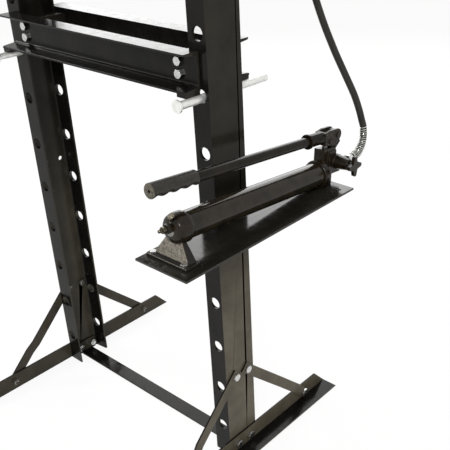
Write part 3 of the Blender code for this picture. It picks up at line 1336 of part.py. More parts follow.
def make_handle(axis):
    """Make the handle: forked beam with its socket, tube, moulded grip and fulcrum pin."""
    local = Matrix.Translation((0, FULCRUM_PLACE, FULCRUM_HEIGHT))
    inner = PLUNGER_EYE_WIDTH / 2 + FORK_CLEARANCE
    outer = inner + FORK_WALL
    tube_height = HANDLE_AXIS_HEIGHT - FULCRUM_HEIGHT
    front = FORK_FRONT - FULCRUM_PLACE
    pin_back = PLUNGER_PLACE - FULCRUM_PLACE
    plate = [(front, -FORK_BOTTOM), (pin_back, -FORK_BELLY), (-FORK_HIP, -FORK_BELLY)]
    plate += arc((0, 0), FORK_EYE_RADIUS, -60, 90, 9)
    plate += [(pin_back, FORK_TOP), (front, FORK_TOP_FRONT)]
    bm = bmesh.new()
    slab(bm, frame_at((-outer, 0, 0), (0, 1, 0), (0, 0, 1)), plate, 2 * outer)
    beam = add_object("handle_beam", bm, CAST_PAINT, local, axis)
    socket = bmesh.new()
    tilt = math.radians(HANDLE_TILT_DEGREES)
    forward = along((0, 0, tube_height), (0, -math.cos(tilt), math.sin(tilt)))
    mouth = HANDLE_SOCKET_FRONT + FULCRUM_PLACE
    turned(socket, forward, (
        (HANDLE_SOCKET_RADIUS, -front - FORK_BRIDGE / 2),
        (HANDLE_SOCKET_RADIUS, mouth - HANDLE_SOCKET_RIM),
        (HANDLE_SOCKET_RIM_RADIUS, mouth - HANDLE_SOCKET_RIM),
        (HANDLE_SOCKET_RIM_RADIUS, mouth),
    ), HOLE_SIDES)
    combine(beam, socket, "UNION", local, axis)
    cuts = bmesh.new()
    bridge_end = front + FORK_BRIDGE
    box(cuts, (-inner, bridge_end, -FORK_EYE_RADIUS * 2), (inner, FORK_EYE_RADIUS * 2, FORK_EYE_RADIUS * 2))
    combine(beam, cuts, "DIFFERENCE", local, axis)
    holes = bmesh.new()
    pivot = along((0, 0, 0), (1, 0, 0))
    round_cutter(holes, pivot, FULCRUM_PIN_RADIUS + SLIP, -outer, outer)
    turned(holes, forward, (
        (HANDLE_RADIUS + SLIP, -front + GAP),
        (HANDLE_RADIUS + SLIP, mouth + OVERRUN),
    ), HOLE_SIDES)
    slot_outline = slot_points()
    slab(holes, frame_at((-outer - OVERRUN, 0, 0), (0, 1, 0), (0, 0, 1)), slot_outline, 2 * (outer + OVERRUN))
    combine(beam, holes, "DIFFERENCE", local, axis)

    bm = bmesh.new()
    start = -front + GAP * 2
    reach = HANDLE_FRONT + FULCRUM_PLACE
    bore = HANDLE_RADIUS - HANDLE_WALL
    turned(bm, forward, (
        (bore, start), (HANDLE_RADIUS, start), (HANDLE_RADIUS, reach), (bore, reach),
    ), HOLE_SIDES, hollow=True)
    add_object("handle_tube", bm, PAINT, local, axis)

    bm = bmesh.new()
    grip_shape(bm, forward, reach)
    add_object("handle_grip", bm, GRIP_VINYL, local, axis)

    pin_half = outer + GAP
    head = FULCRUM_PIN_RADIUS * PIN_HEAD_SHARE
    bm = bmesh.new()
    turned(bm, pivot, (
        (head, -pin_half - PIN_HEAD_WALL), (head, -pin_half), (FULCRUM_PIN_RADIUS, -pin_half),
        (FULCRUM_PIN_RADIUS, pin_half), (head, pin_half), (head, pin_half + PIN_HEAD_WALL),
    ), SMALL_SIDES)
    add_object("fulcrum_pin", bm, ZINC, local, axis)


def slot_points():
    """Give the slot in the fork that the plunger pin slides along as the handle swings."""
    run = FULCRUM_PLACE - PLUNGER_PLACE
    low = math.atan2(FULCRUM_HEIGHT - PLUNGER_PIN_HEIGHT, run)
    high = math.radians(HANDLE_SWING_DEGREES) - low
    width = PLUNGER_PIN_RADIUS + SLOT_SLACK
    nearest = run
    farthest = run / math.cos(max(low, high))
    side = Vector((-math.cos(low), -math.sin(low)))
    heading = math.degrees(math.atan2(side.y, side.x))
    near = side * nearest
    far = side * farthest
    return arc(near, width, heading + 90, heading + 270, 4) + arc(far, width, heading - 90, heading + 90, 4)


def grip_shape(bm, place, tube_end):
    """Turn the grip as a sleeve with one end wall and finger dips along its lower side."""
    back = GRIP_BACK + FULCRUM_PLACE
    end = GRIP_FRONT + FULCRUM_PLACE
    bore = HANDLE_RADIUS + SLIP
    floor = tube_end + GAP
    count = GRIP_FINGERS * GRIP_STATIONS_A_FINGER
    stations = [(GRIP_END_HOLE, end), (GRIP_END_HOLE, floor), (bore, floor), (bore, back)]
    rings = [ring(bm, place, radius, height, HOLE_SIDES) for radius, height in stations]
    down = place.to_3x3().inverted() @ Vector((0, 0, -1))
    lower = math.atan2(down.y, down.x)
    for index in range(count + 1):
        height = back + (end - back) * index / count
        wave = (1 - math.cos(2 * math.pi * index / GRIP_STATIONS_A_FINGER)) / 2
        points = []
        for corner in range(HOLE_SIDES):
            angle = 2 * math.pi * corner / HOLE_SIDES
            facing = max(0.0, math.cos(angle - lower))
            radius = GRIP_RADIUS - GRIP_SCALLOP * wave * facing
            if index in (0, count):
                radius -= GRIP_LIP
            spot = place @ Vector((radius * math.cos(angle), radius * math.sin(angle), height))
            points.append(bm.verts.new(spot))
        rings.append(points)
    for first, second in zip(rings, rings[1:]):
        bridge(bm, first, second)
    bridge(bm, rings[-1], rings[0])


def smooth_route(points):
    """Read points from a smooth curve through the route, closer together in its first bend."""
    dense = []
    padded = [points[0] * 2 - points[1]] + points + [points[-1] * 2 - points[-2]]
    for index in range(len(points) - 1):
        before, start, end, after = padded[index:index + 4]
        for part in range(ROUTE_PARTS):
            t = part / ROUTE_PARTS
            spot = 2 * start + (end - before) * t + (2 * before - 5 * start + 4 * end - after) * t ** 2
            spot += (3 * start - before - 3 * end + after) * t ** 3
            dense.append(spot / 2)
    dense.append(points[-1])
    length = sum((second - first).length for first, second in zip(dense, dense[1:]))
    fine = round(HOSE_BEND_LENGTH / HOSE_BEND_STEP)
    coarse = round((length - HOSE_BEND_LENGTH) / HOSE_STEP)
    wanted = [HOSE_BEND_LENGTH * index / fine for index in range(fine)]
    wanted += [HOSE_BEND_LENGTH + (length - HOSE_BEND_LENGTH) * index / coarse for index in range(coarse + 1)]
    return [walk(dense, target)[0] for target in wanted], length


def walk(points, distance):
    """Give the place and the direction at a distance along a line of points."""
    last = len(points) - 2
    for index in range(last + 1):
        step = points[index + 1] - points[index]
        if distance <= step.length or index == last:
            break
        distance -= step.length
    share = min(1.0, distance / step.length)
    ahead = points[min(index + 2, last + 1)] - points[index + 1]
    behind = points[index] - points[max(index - 1, 0)]
    here = step.normalized()
    entry = (here + behind.normalized()).normalized()
    leaving = (here + ahead.normalized()).normalized()
    return points[index].lerp(points[index + 1], share), entry.lerp(leaving, share).normalized()


def make_hose(axis):
    """Make the hose with its guard spring, its end fitting and the elbow on the cylinder cap."""
    pump = pump_place()
    rearward = along((PORT_PLACE, 0, PORT_HEIGHT), (0, 1, 0))
    start = PORT_BACK + GAP
    ferrule_start = start + NIPPLE_LENGTH
    hose_start = ferrule_start + FERRULE_LENGTH + GAP
    bm = bmesh.new()
    turned(bm, rearward, (
        (NIPPLE_BORE, PORT_BACK - NIPPLE_SHANK),
        (PORT_BORE_RADIUS, PORT_BACK - NIPPLE_SHANK),
        (PORT_BORE_RADIUS, start),
        (NIPPLE_ACROSS / 2, start, NIPPLE_ACROSS),
        (NIPPLE_ACROSS / 2, ferrule_start, NIPPLE_ACROSS),
        (FERRULE_RADIUS, ferrule_start),
        (FERRULE_RADIUS, ferrule_start + FERRULE_LENGTH),
        (NIPPLE_BORE, ferrule_start + FERRULE_LENGTH),
    ), SMALL_SIDES, hollow=True)
    add_object("hose_end_fitting", bm, ZINC, parent=axis)

    out = Vector((1, 1, 0)).normalized()
    elbow_height = CAP_TOP + GAP + ELBOW_RISE
    bm = bmesh.new()
    turned(bm, Matrix.Identity(4), (
        (ELBOW_SHANK_RADIUS, BODY_TOP),
        (ELBOW_SHANK_RADIUS, CAP_TOP + GAP),
        (ELBOW_RADIUS, CAP_TOP + GAP),
        (ELBOW_RADIUS, elbow_height),
    ), SMALL_SIDES)
    elbow = add_object("port_elbow", bm, ZINC)
    arm = bmesh.new()
    arm_height = elbow_height - ELBOW_RADIUS
    arm_place = along((0, 0, arm_height), out)
    turned(arm, arm_place, (
        (ELBOW_RADIUS * ELBOW_ARM_SHARE, 0),
        (ELBOW_RADIUS * ELBOW_ARM_SHARE, ELBOW_REACH),
        (FERRULE_RADIUS, ELBOW_REACH),
        (FERRULE_RADIUS, ELBOW_REACH + FERRULE_LENGTH),
    ), SMALL_SIDES)
    combine(elbow, arm, "UNION")

    first = pump @ Vector((PORT_PLACE, hose_start, PORT_HEIGHT))
    straight = (pump.to_3x3() @ Vector((0, 1, 0))) * HOSE_RADIUS * 2 * HOSE_START_SHARE
    last = arm_place @ Vector((0, 0, ELBOW_REACH + FERRULE_LENGTH + GAP))
    ending = out * HOSE_RADIUS * 2
    spread = (PUMP_X + PORT_PLACE) / HOSE_ROUTE[0][0]
    route = [Vector((x * spread, y, z)) for x, y, z in HOSE_ROUTE]
    route = [first + straight] + route + [last + ending]
    picked, length = smooth_route(route)
    points = [first] + picked + [last]
    add_wire("hydraulic_hose", points, HOSE_RADIUS, 2, RUBBER)
    total = length + straight.length + ending.length
    print(f"hose: {total:.3f} m, {len(points)} points")
    make_guard(points)


def make_guard(line):
    """Wind the guard spring round the first stretch of the hose."""
    coil = HOSE_RADIUS + GUARD_INSIDE_CLEARANCE + GUARD_WIRE / 2
    total = GUARD_CURLS * GUARD_POINTS
    start = GUARD_WIRE / 2 + GAP
    side = Vector((1, 0, 0))
    points = []
    for index in range(total + 1):
        spot, tangent = walk(line, start + GUARD_LENGTH * index / total)
        side = (side - tangent * side.dot(tangent)).normalized()
        up = tangent.cross(side)
        angle = 2 * math.pi * index / GUARD_POINTS
        points.append(spot + (side * math.cos(angle) + up * math.sin(angle)) * coil)
    add_wire("hose_guard_spring", points, GUARD_WIRE / 2, 1, ZINC)
    report_self_gap("hose_guard_spring", points, GUARD_POINTS, GUARD_WIRE)


def main():
    """Clear the scene and build the whole press."""
    for thing in list(bpy.data.objects):
        bpy.data.objects.remove(thing, do_unlink=True)
    make_posts()
    make_feet()
    make_braces()
    make_tie()
    make_crown()
    make_crown_bolts()
    make_cylinder_plate()
    make_cylinder()
    make_ram()
    make_bed()
    make_pins()
    make_shelf()
    axis = make_pump_axis()
    make_tank(axis)
    make_pedestal(axis)
    make_head(axis)
    make_valve(axis)
    make_plunger(axis)
    make_handle(axis)
    make_hose(axis)


main()
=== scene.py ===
"""Looks of a hydraulic shop press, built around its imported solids.

The press is dressed one sub-assembly at a time: the channel frame, the cylinder, the bed, the shelf,
the hand pump with its handle, and the hose. Metres, +Z up, -Y is the front.
"""

import json
import logging
import math
from dataclasses import dataclass
from enum import Enum
from functools import lru_cache

import bpy
from mathutils import Matrix, Vector

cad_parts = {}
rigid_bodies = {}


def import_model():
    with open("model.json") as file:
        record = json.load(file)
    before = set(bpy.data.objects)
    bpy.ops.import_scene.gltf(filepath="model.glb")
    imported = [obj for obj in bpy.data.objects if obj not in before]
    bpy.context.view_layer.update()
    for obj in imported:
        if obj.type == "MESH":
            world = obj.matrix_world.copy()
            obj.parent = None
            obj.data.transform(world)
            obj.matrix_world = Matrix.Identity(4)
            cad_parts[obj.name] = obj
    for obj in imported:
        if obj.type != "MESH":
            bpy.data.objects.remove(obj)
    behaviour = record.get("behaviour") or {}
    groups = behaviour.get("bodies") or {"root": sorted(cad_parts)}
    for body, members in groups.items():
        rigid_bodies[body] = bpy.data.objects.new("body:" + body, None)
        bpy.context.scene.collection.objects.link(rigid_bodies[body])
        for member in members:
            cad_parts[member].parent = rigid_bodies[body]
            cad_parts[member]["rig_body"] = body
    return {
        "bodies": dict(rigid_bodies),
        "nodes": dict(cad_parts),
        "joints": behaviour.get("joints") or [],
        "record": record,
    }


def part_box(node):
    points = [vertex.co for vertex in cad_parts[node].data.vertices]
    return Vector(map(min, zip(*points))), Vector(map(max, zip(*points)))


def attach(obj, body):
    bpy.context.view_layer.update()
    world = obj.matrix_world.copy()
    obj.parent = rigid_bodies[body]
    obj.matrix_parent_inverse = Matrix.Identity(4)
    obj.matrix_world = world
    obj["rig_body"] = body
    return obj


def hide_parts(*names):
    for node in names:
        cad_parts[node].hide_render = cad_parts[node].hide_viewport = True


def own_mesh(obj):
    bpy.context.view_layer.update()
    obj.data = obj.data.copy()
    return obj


log = logging.getLogger("shop_press")

MM = 0.001
GAP = 0.0003
OUTER_X = Vector((1, 0, 0))


class Worn(Enum):
    """Where a finish is used: on the broad faces, or on edges that hands and tools rub."""

    FACE = "face"
    EDGE = "edge"


class Ends(Enum):
    """How a turned shape is closed: with flat ends, or with a bore right through."""

    FLAT = "flat"
    BORED = "bored"


# Finishes


def linear(hex_colour: str) -> tuple[float, float, float, float]:
    """Turn an sRGB hex colour into the linear colour that a shader takes.

    Args:
        hex_colour: The colour as six hex digits.

    Returns:
        Red, green, blue and an alpha of one.
    """
    parts = [int(hex_colour[start:start + 2], 16) / 255 for start in (0, 2, 4)]
    flat = [part / 12.92 if part <= 0.04045 else ((part + 0.055) / 1.055) ** 2.4 for part in parts]
    return flat[0], flat[1], flat[2], 1.0


def add_node(tree: bpy.types.NodeTree, kind: str, settings: dict = {}, links: dict = {}) -> bpy.types.Node:
    """Add one node with its settings and its incoming links.

    Args:
        tree: The material's node tree.
        kind: The node's type name.
        settings: Property names, or names or places of sockets, with their values.
        links: Names or places of input sockets with the outputs that feed them.

    Returns:
        The new node.
    """
    node = tree.nodes.new(kind)
    for key, value in settings.items():
        if isinstance(key, str) and hasattr(node, key):
            setattr(node, key, value)
        else:
            node.inputs[key].default_value = value
    for key, output in links.items():
        tree.links.new(output, node.inputs[key])
    return node


@dataclass(frozen=True)
class Finish:
    """A real surface: its two tones, its gloss and its relief, with pattern sizes in millimetres."""

    name: str
    slot: str
    tone: str
    second_tone: str
    patch_mm: float
    relief_mm: float
    relief_height_mm: float
    roughness: float
    rough_spread: float
    metallic: float = 0.0
    specular: float = 0.5
    edge_tone: str = "8a857c"
    edge_share: float = 0.45
    stretch: tuple[float, float, float] = (1.0, 1.0, 1.0)

    def build(self, use: Worn = Worn.FACE) -> bpy.types.Material:
        """Make the node material.

        Args:
            use: The broad faces or the rubbed edges.

        Returns:
            The finished material.
        """
        made = bpy.data.materials.new(self.name if use is Worn.FACE else self.name + " rubbed edge")
        made.use_nodes = True
        tree = made.node_tree
        shader = tree.nodes["Principled BSDF"]
        shader.inputs["Metallic"].default_value = self.metallic
        shader.inputs["Specular IOR Level"].default_value = self.specular
        spot = self.spot(tree)
        colour = self.colour(tree, spot)
        if use is Worn.EDGE:
            colour = self.rubbed(tree, spot, colour)
        tree.links.new(colour, shader.inputs["Base Color"])
        tree.links.new(self.gloss(tree, spot), shader.inputs["Roughness"])
        tree.links.new(self.relief(tree, spot), shader.inputs["Normal"])
        return made

    def spot(self, tree: bpy.types.NodeTree) -> bpy.types.NodeSocket:
        """Give the place on the piece that its patterns read, drawn out along the grain.

        Args:
            tree: The material's node tree.

        Returns:
            The socket with the place.
        """
        place = add_node(tree, "ShaderNodeTexCoord")
        mapping = add_node(tree, "ShaderNodeMapping", {"Scale": self.stretch}, {"Vector": place.outputs["Object"]})
        return mapping.outputs["Vector"]

    def cloud(self, tree: bpy.types.NodeTree, spot: bpy.types.NodeSocket, size_mm: float,
              low: float, high: float, detail: float = 3.0) -> bpy.types.NodeSocket:
        """Make soft random patches of a real size, spread between two values.

        Args:
            tree: The material's node tree.
            spot: The place on the piece.
            size_mm: The patches' size.
            low: The value in the lowest patches.
            high: The value in the highest patches.
            detail: How many finer layers the patches have.

        Returns:
            The socket with the value.
        """
        settings = {"Scale": 1 / (size_mm * MM), "Detail": detail, "Roughness": 0.6}
        noise = add_node(tree, "ShaderNodeTexNoise", settings, {"Vector": spot})
        spread = {"From Min": 0.36, "From Max": 0.64, "To Min": low, "To Max": high}
        ranged = add_node(tree, "ShaderNodeMapRange", spread, {"Value": noise.outputs["Fac"]})
        return ranged.outputs["Result"]

    def blend(self, tree: bpy.types.NodeTree, share: bpy.types.NodeSocket, first: object,
              second: object) -> bpy.types.NodeSocket:
        """Mix two colours, each a socket or a hex colour.

        Args:
            tree: The material's node tree.
            share: The socket with the second colour's share.
            first: The first colour.
            second: The second colour.

        Returns:
            The socket with the mixed colour.
        """
        mix = add_node(tree, "ShaderNodeMix", {"data_type": "RGBA"}, {0: share})
        for place, colour in ((6, first), (7, second)):
            if isinstance(colour, str):
                mix.inputs[place].default_value = linear(colour)
            else:
                tree.links.new(colour, mix.inputs[place])
        return mix.outputs[2]

    def colour(self, tree: bpy.types.NodeTree, spot: bpy.types.NodeSocket) -> bpy.types.NodeSocket:
        """Give the surface its two tones in broad patches.

        Args:
            tree: The material's node tree.
            spot: The place on the piece.

        Returns:
            The socket with the colour.
        """
        return self.blend(tree, self.cloud(tree, spot, self.patch_mm, 0.0, 1.0), self.tone, self.second_tone)

    def gloss(self, tree: bpy.types.NodeTree, spot: bpy.types.NodeSocket) -> bpy.types.NodeSocket:
        """Give the roughness, a little uneven as on a handled surface.

        Args:
            tree: The material's node tree.
            spot: The place on the piece.

        Returns:
            The socket with the roughness.
        """
        low = self.roughness - self.rough_spread
        return self.cloud(tree, spot, self.patch_mm / 3, low, self.roughness + self.rough_spread)

    def relief(self, tree: bpy.types.NodeTree, spot: bpy.types.NodeSocket) -> bpy.types.NodeSocket:
        """Give the fine relief of the surface as bumps of a real size and height.

        Args:
            tree: The material's node tree.
            spot: The place on the piece.

        Returns:
            The socket with the bent normal.
        """
        height = self.cloud(tree, spot, self.relief_mm, 0.0, 1.0, 2.0)
        bump = add_node(tree, "ShaderNodeBump", {"Distance": self.relief_height_mm * MM}, {"Height": height})
        return bump.outputs["Normal"]

    def rubbed(self, tree: bpy.types.NodeTree, spot: bpy.types.NodeSocket,
               colour: bpy.types.NodeSocket) -> bpy.types.NodeSocket:
        """Let bare or dusty edges show through in short runs.

        Args:
            tree: The material's node tree.
            spot: The place on the piece.
            colour: The socket with the unworn colour.

        Returns:
            The socket with the worn colour.
        """
        rub_mm = 9.0
        return self.blend(tree, self.cloud(tree, spot, rub_mm, 0.0, self.edge_share, 4.0), colour, self.edge_tone)


@dataclass(frozen=True)
class GrittyFinish(Finish):
    """A casting left as it came from the sand, with light and dark grit in its skin."""

    grit_mm: float = 1.6
    grit_light: str = "9b9184"
    grit_dark: str = "3f3830"

    def colour(self, tree: bpy.types.NodeTree, spot: bpy.types.NodeSocket) -> bpy.types.NodeSocket:
        """Add light grains and dark pits to the two tones.

        Args:
            tree: The material's node tree.
            spot: The place on the piece.

        Returns:
            The socket with the colour.
        """
        ground = super().colour(tree, spot)
        grain = self.blend(tree, self.cloud(tree, spot, self.grit_mm, -0.9, 0.7, 4.0), ground, self.grit_light)
        return self.blend(tree, self.cloud(tree, spot, self.grit_mm * 2.3, -1.1, 0.8, 4.0), grain, self.grit_dark)


@dataclass(frozen=True)
class FloorReflectionFinish(Finish):
    """Black enamel on the channels, with a painted reflection of a brown floor on the webs, stronger low down and on
    the right.
    """

    reflection_tone: str = "7d7564"
    reflection_from: float = 0.82
    reflection_full: float = 0.38
    reflection_least: float = 0.08
    reflection_most: float = 0.50
    left_reflection_share: float = 0.45
    post_place: float = 0.30

    def colour(self, tree: bpy.types.NodeTree, spot: bpy.types.NodeSocket) -> bpy.types.NodeSocket:
        """Lay the painted floor reflection over the two tones, on faces that look sideways.

        Args:
            tree: The material's node tree.
            spot: The place on the piece.

        Returns:
            The socket with the colour.
        """
        ground = super().colour(tree, spot)
        # Painted reflection: a brown floor tone on faces that look sideways, strongest low down.
        place = add_node(tree, "ShaderNodeTexCoord")
        height = add_node(tree, "ShaderNodeSeparateXYZ", {}, {0: place.outputs["Object"]})
        facing = add_node(tree, "ShaderNodeSeparateXYZ", {}, {0: place.outputs["Normal"]})
        web = add_node(tree, "ShaderNodeMath", {"operation": "POWER", 1: 4.0}, {0: self.size_of(tree, facing)})
        spread = {"interpolation_type": "SMOOTHSTEP", "From Min": self.reflection_full, "From Max": self.reflection_from,
                  "To Min": self.reflection_most, "To Max": self.reflection_least}
        fall = add_node(tree, "ShaderNodeMapRange", spread, {"Value": height.outputs["Z"]})
        links = {0: web.outputs[0], 1: fall.outputs["Result"]}
        reflection_mask = add_node(tree, "ShaderNodeMath", {"operation": "MULTIPLY"}, links)
        # Soft patches and a weaker left side break up the painted floor reflection.
        reflection_patch_mm = 70
        side_weight = add_node(tree, "ShaderNodeMapRange", {"From Min": -self.post_place, "From Max": self.post_place,
                                                        "To Min": self.left_reflection_share, "To Max": 1.0},
                           {"Value": height.outputs["X"]})
        patches = self.cloud(tree, spot, reflection_patch_mm, 0.75, 1.1)
        links = {0: patches, 1: side_weight.outputs["Result"]}
        uneven = add_node(tree, "ShaderNodeMath", {"operation": "MULTIPLY"}, links).outputs[0]
        share = add_node(tree, "ShaderNodeMath", {"operation": "MULTIPLY"}, {0: reflection_mask.outputs[0], 1: uneven})
        return self.blend(tree, share.outputs[0], ground, self.reflection_tone)

    def size_of(self, tree: bpy.types.NodeTree, facing: bpy.types.Node) -> bpy.types.NodeSocket:
        """Give how far a face looks sideways, to the left or to the right."""
        return add_node(tree, "ShaderNodeMath", {"operation": "ABSOLUTE"}, {0: facing.outputs["X"]}).outputs[0]


@dataclass(frozen=True)
class SpangledFinish(Finish):
    """A zinc coat whose crystals catch the light one by one."""

    spangle_mm: float = 4.0

    def gloss(self, tree: bpy.types.NodeTree, spot: bpy.types.NodeSocket) -> bpy.types.NodeSocket:
        """Give each crystal its own roughness.

        Args:
            tree: The material's node tree.
            spot: The place on the piece.

        Returns:
            The socket with the roughness.
        """
        settings = {"Scale": 1 / (self.spangle_mm * MM)}
        cells = add_node(tree, "ShaderNodeTexVoronoi", settings, {"Vector": spot})
        low = self.roughness - self.rough_spread
        spread = {"To Min": low, "To Max": self.roughness + self.rough_spread}
        ranged = add_node(tree, "ShaderNodeMapRange", spread, {"Value": cells.outputs["Color"]})
        return ranged.outputs["Result"]


# Gloss enamel sprayed on hot rolled channel: near black, with long soft waves of mill steel under it and a painted
# reflection of a brown floor on its webs
FRAME_PAINT = FloorReflectionFinish("gloss enamel on rolled steel", "frame_paint", "0f0e0d", "181613", 60, 16, 0.03, 0.18, 0.06,
                          specular=0.11, edge_tone="4c4942")
# The shelf plate lies flat and was sprayed wet: a deeper gloss that mirrors what stands on it
SHELF_PAINT = Finish("wet gloss enamel on plate", "frame_paint", "1c1b17", "27251f", 60, 22, 0.015, 0.14, 0.04,
                     specular=0.27, edge_tone="5a564e")
# The same enamel on drawn tube: smoother, so the lamps draw long clean lines on it
PUMP_PAINT = Finish("gloss enamel on drawn tube", "pump_paint", "1c1811", "2a2318", 34, 18, 0.015, 0.15, 0.04,
                    specular=0.24, edge_tone="6a6359")
# The handle's tube has the same enamel, dulled by years of hands
HANDLE_PAINT = Finish("handled enamel on tube", "pump_paint", "15120d", "221d14", 26, 14, 0.02, 0.20, 0.05,
                      specular=0.13, edge_tone="6a6359")
# Enamel over a sand casting: the skin of the casting stays under the paint and breaks up the gloss
CAST_PAINT = Finish("enamel on cast iron", "pump_paint", "151009", "261e13", 16, 3.0, 0.05, 0.20, 0.06,
                    specular=0.22, edge_tone="8b8478", edge_share=0.5)
# The same on the forked beam, which oily hands have darkened
BEAM_PAINT = Finish("oily enamel on cast iron", "pump_paint", "100c07", "1b150d", 16, 3.0, 0.04, 0.20, 0.06,
                    specular=0.10, edge_tone="8b8478", edge_share=0.4)
# The side of the fork that hands rub: the enamel is dulled and the gray iron shows through
RUBBED_CAST = GrittyFinish("dulled enamel on cast iron", "pump_paint", "231f1a", "322d26", 6, 2.4, 0.12, 0.40, 0.10,
                           specular=0.12, grit_mm=2.6, grit_light="5d574e", grit_dark="181512")
# Bare sand cast iron: gray brown, quite dull, with grit that is drawn a little coarse to show
ROUGH_CAST = GrittyFinish("raw sand cast iron", "rough_casting", "6f695e", "8f887b", 8, 1.6, 0.65, 0.74, 0.10,
                          specular=0.4, edge_tone="a59b8c", edge_share=0.7, grit_mm=1.7, grit_light="c6bfb1",
                          grit_dark="241f18")
# The same iron made near black on the faces turned right, back and down: painted shade over the sand skin
SHADE_DARK_CAST = Finish("cast iron darkened as painted shade", "rough_casting", "13110d", "1d1a15", 9, 2.0, 0.25, 0.50, 0.08,
                     specular=0.25, edge_tone="55503f")
# Hot dipped zinc: pale gray with soft crystals, half dull, half mirror
GALVANISED = SpangledFinish("hot dipped zinc", "zinc_plating", "f2f2ee", "e4e4e0", 8, 3.0, 0.015, 0.44, 0.07,
                            metallic=0.55, edge_tone="ecece9")
# Bright zinc plate on machined steel: brighter and smoother than the dipped coat
ZINC_PLATE = Finish("bright zinc plate", "zinc_plating", "dedfdd", "b2b3b0", 4, 2.0, 0.02, 0.24, 0.08,
                    metallic=1.0, edge_tone="dededb")
# Drawn spring wire with zinc on it: pale against the hose
ZINC_WIRE = Finish("zinc coated spring wire", "zinc_plating", "d8d8d3", "c2c2bc", 6, 3.0, 0.01, 0.22, 0.08,
                   metallic=1.0)
# Turned steel left bare and oiled: mid gray with fine lathe lines round the axis
TURNED_STEEL = Finish("turned steel", "machined_steel", "8d8c89", "6f6d69", 7, 2.0, 0.02, 0.28, 0.08,
                      metallic=1.0, edge_tone="b8b6b0", stretch=(0.3, 0.3, 1.6))
# Steel that oil has browned, bright only where a wrench has been
OILED_STEEL = Finish("oiled steel fitting", "machined_steel", "2b271f", "6b6558", 3.4, 2.0, 0.03, 0.28, 0.08,
                     metallic=1.0, edge_tone="a39e91", edge_share=0.7)
# Hard chrome on a ground rod: an even mirror with the faintest haze
HARD_CHROME = Finish("ground hard chrome", "hard_chrome", "dcdddf", "d2d4d6", 20, 8.0, 0.004, 0.08, 0.03,
                     metallic=1.0, edge_tone="e8e8e8")
# Extruded rubber: dark olive gray, matt, with drawn streaks too fine to see one by one
HOSE_RUBBER = Finish("extruded hose rubber", "hose_rubber", "1b1a16", "28261f", 12, 3.0, 0.04, 0.40, 0.08,
                     specular=0.30, edge_tone="4c4a44", stretch=(1.0, 1.0, 0.25))
# Black gland rubber: dead matt
SEAL_RUBBER = Finish("moulded seal rubber", "hose_rubber", "1c1b1a", "262422", 6, 2.0, 0.03, 0.62, 0.06)
# Soft vinyl moulded on the tube: black, half matt, with a leathery skin
GRIP_VINYL = Finish("moulded soft vinyl", "grip_vinyl", "1a1813", "2a261d", 9, 2.6, 0.12, 0.36, 0.08,
                    specular=0.35, edge_tone="46413a")
# The grip's end, scuffed where the handle knocks on things
GRIP_END = GrittyFinish("scuffed vinyl end", "grip_vinyl", "3d392e", "504b3e", 5, 1.6, 0.15, 0.60, 0.08,
                        grit_mm=2.2, grit_light="8d8778", grit_dark="25221d")


@lru_cache(maxsize=None)
def material(finish: Finish, use: Worn = Worn.FACE) -> bpy.types.Material:
    """Give the one material of a finish and a use."""
    return finish.build(use)


# Places


def frame_at(origin: Vector, x_axis: Vector, y_axis: Vector) -> Matrix:
    """Give the place whose X and Y axes point along two directions.

    Args:
        origin: The place's origin.
        x_axis: The direction of its X axis.
        y_axis: The direction of its Y axis.

    Returns:
        The place as a matrix.
    """
    x_dir = Vector(x_axis).normalized()
    y_dir = Vector(y_axis).normalized()
    turn = Matrix((x_dir, y_dir, x_dir.cross(y_dir))).transposed().to_4x4()
    return Matrix.Translation(Vector(origin)) @ turn


def along(origin: Vector, axis: Vector) -> Matrix:
    """Give a place whose Z axis points along a direction.

    Args:
        origin: The place's origin.
        axis: The direction of its Z axis.

    Returns:
        The place as a matrix.
    """
    z_dir = Vector(axis).normalized()
    side = OUTER_X if abs(z_dir.x) < abs(z_dir.z) + abs(z_dir.y) else Vector((0, 1, 0))
    x_dir = (side - z_dir * side.dot(z_dir)).normalized()
    return frame_at(origin, x_dir, z_dir.cross(x_dir))


# The bench, where pieces are shaped


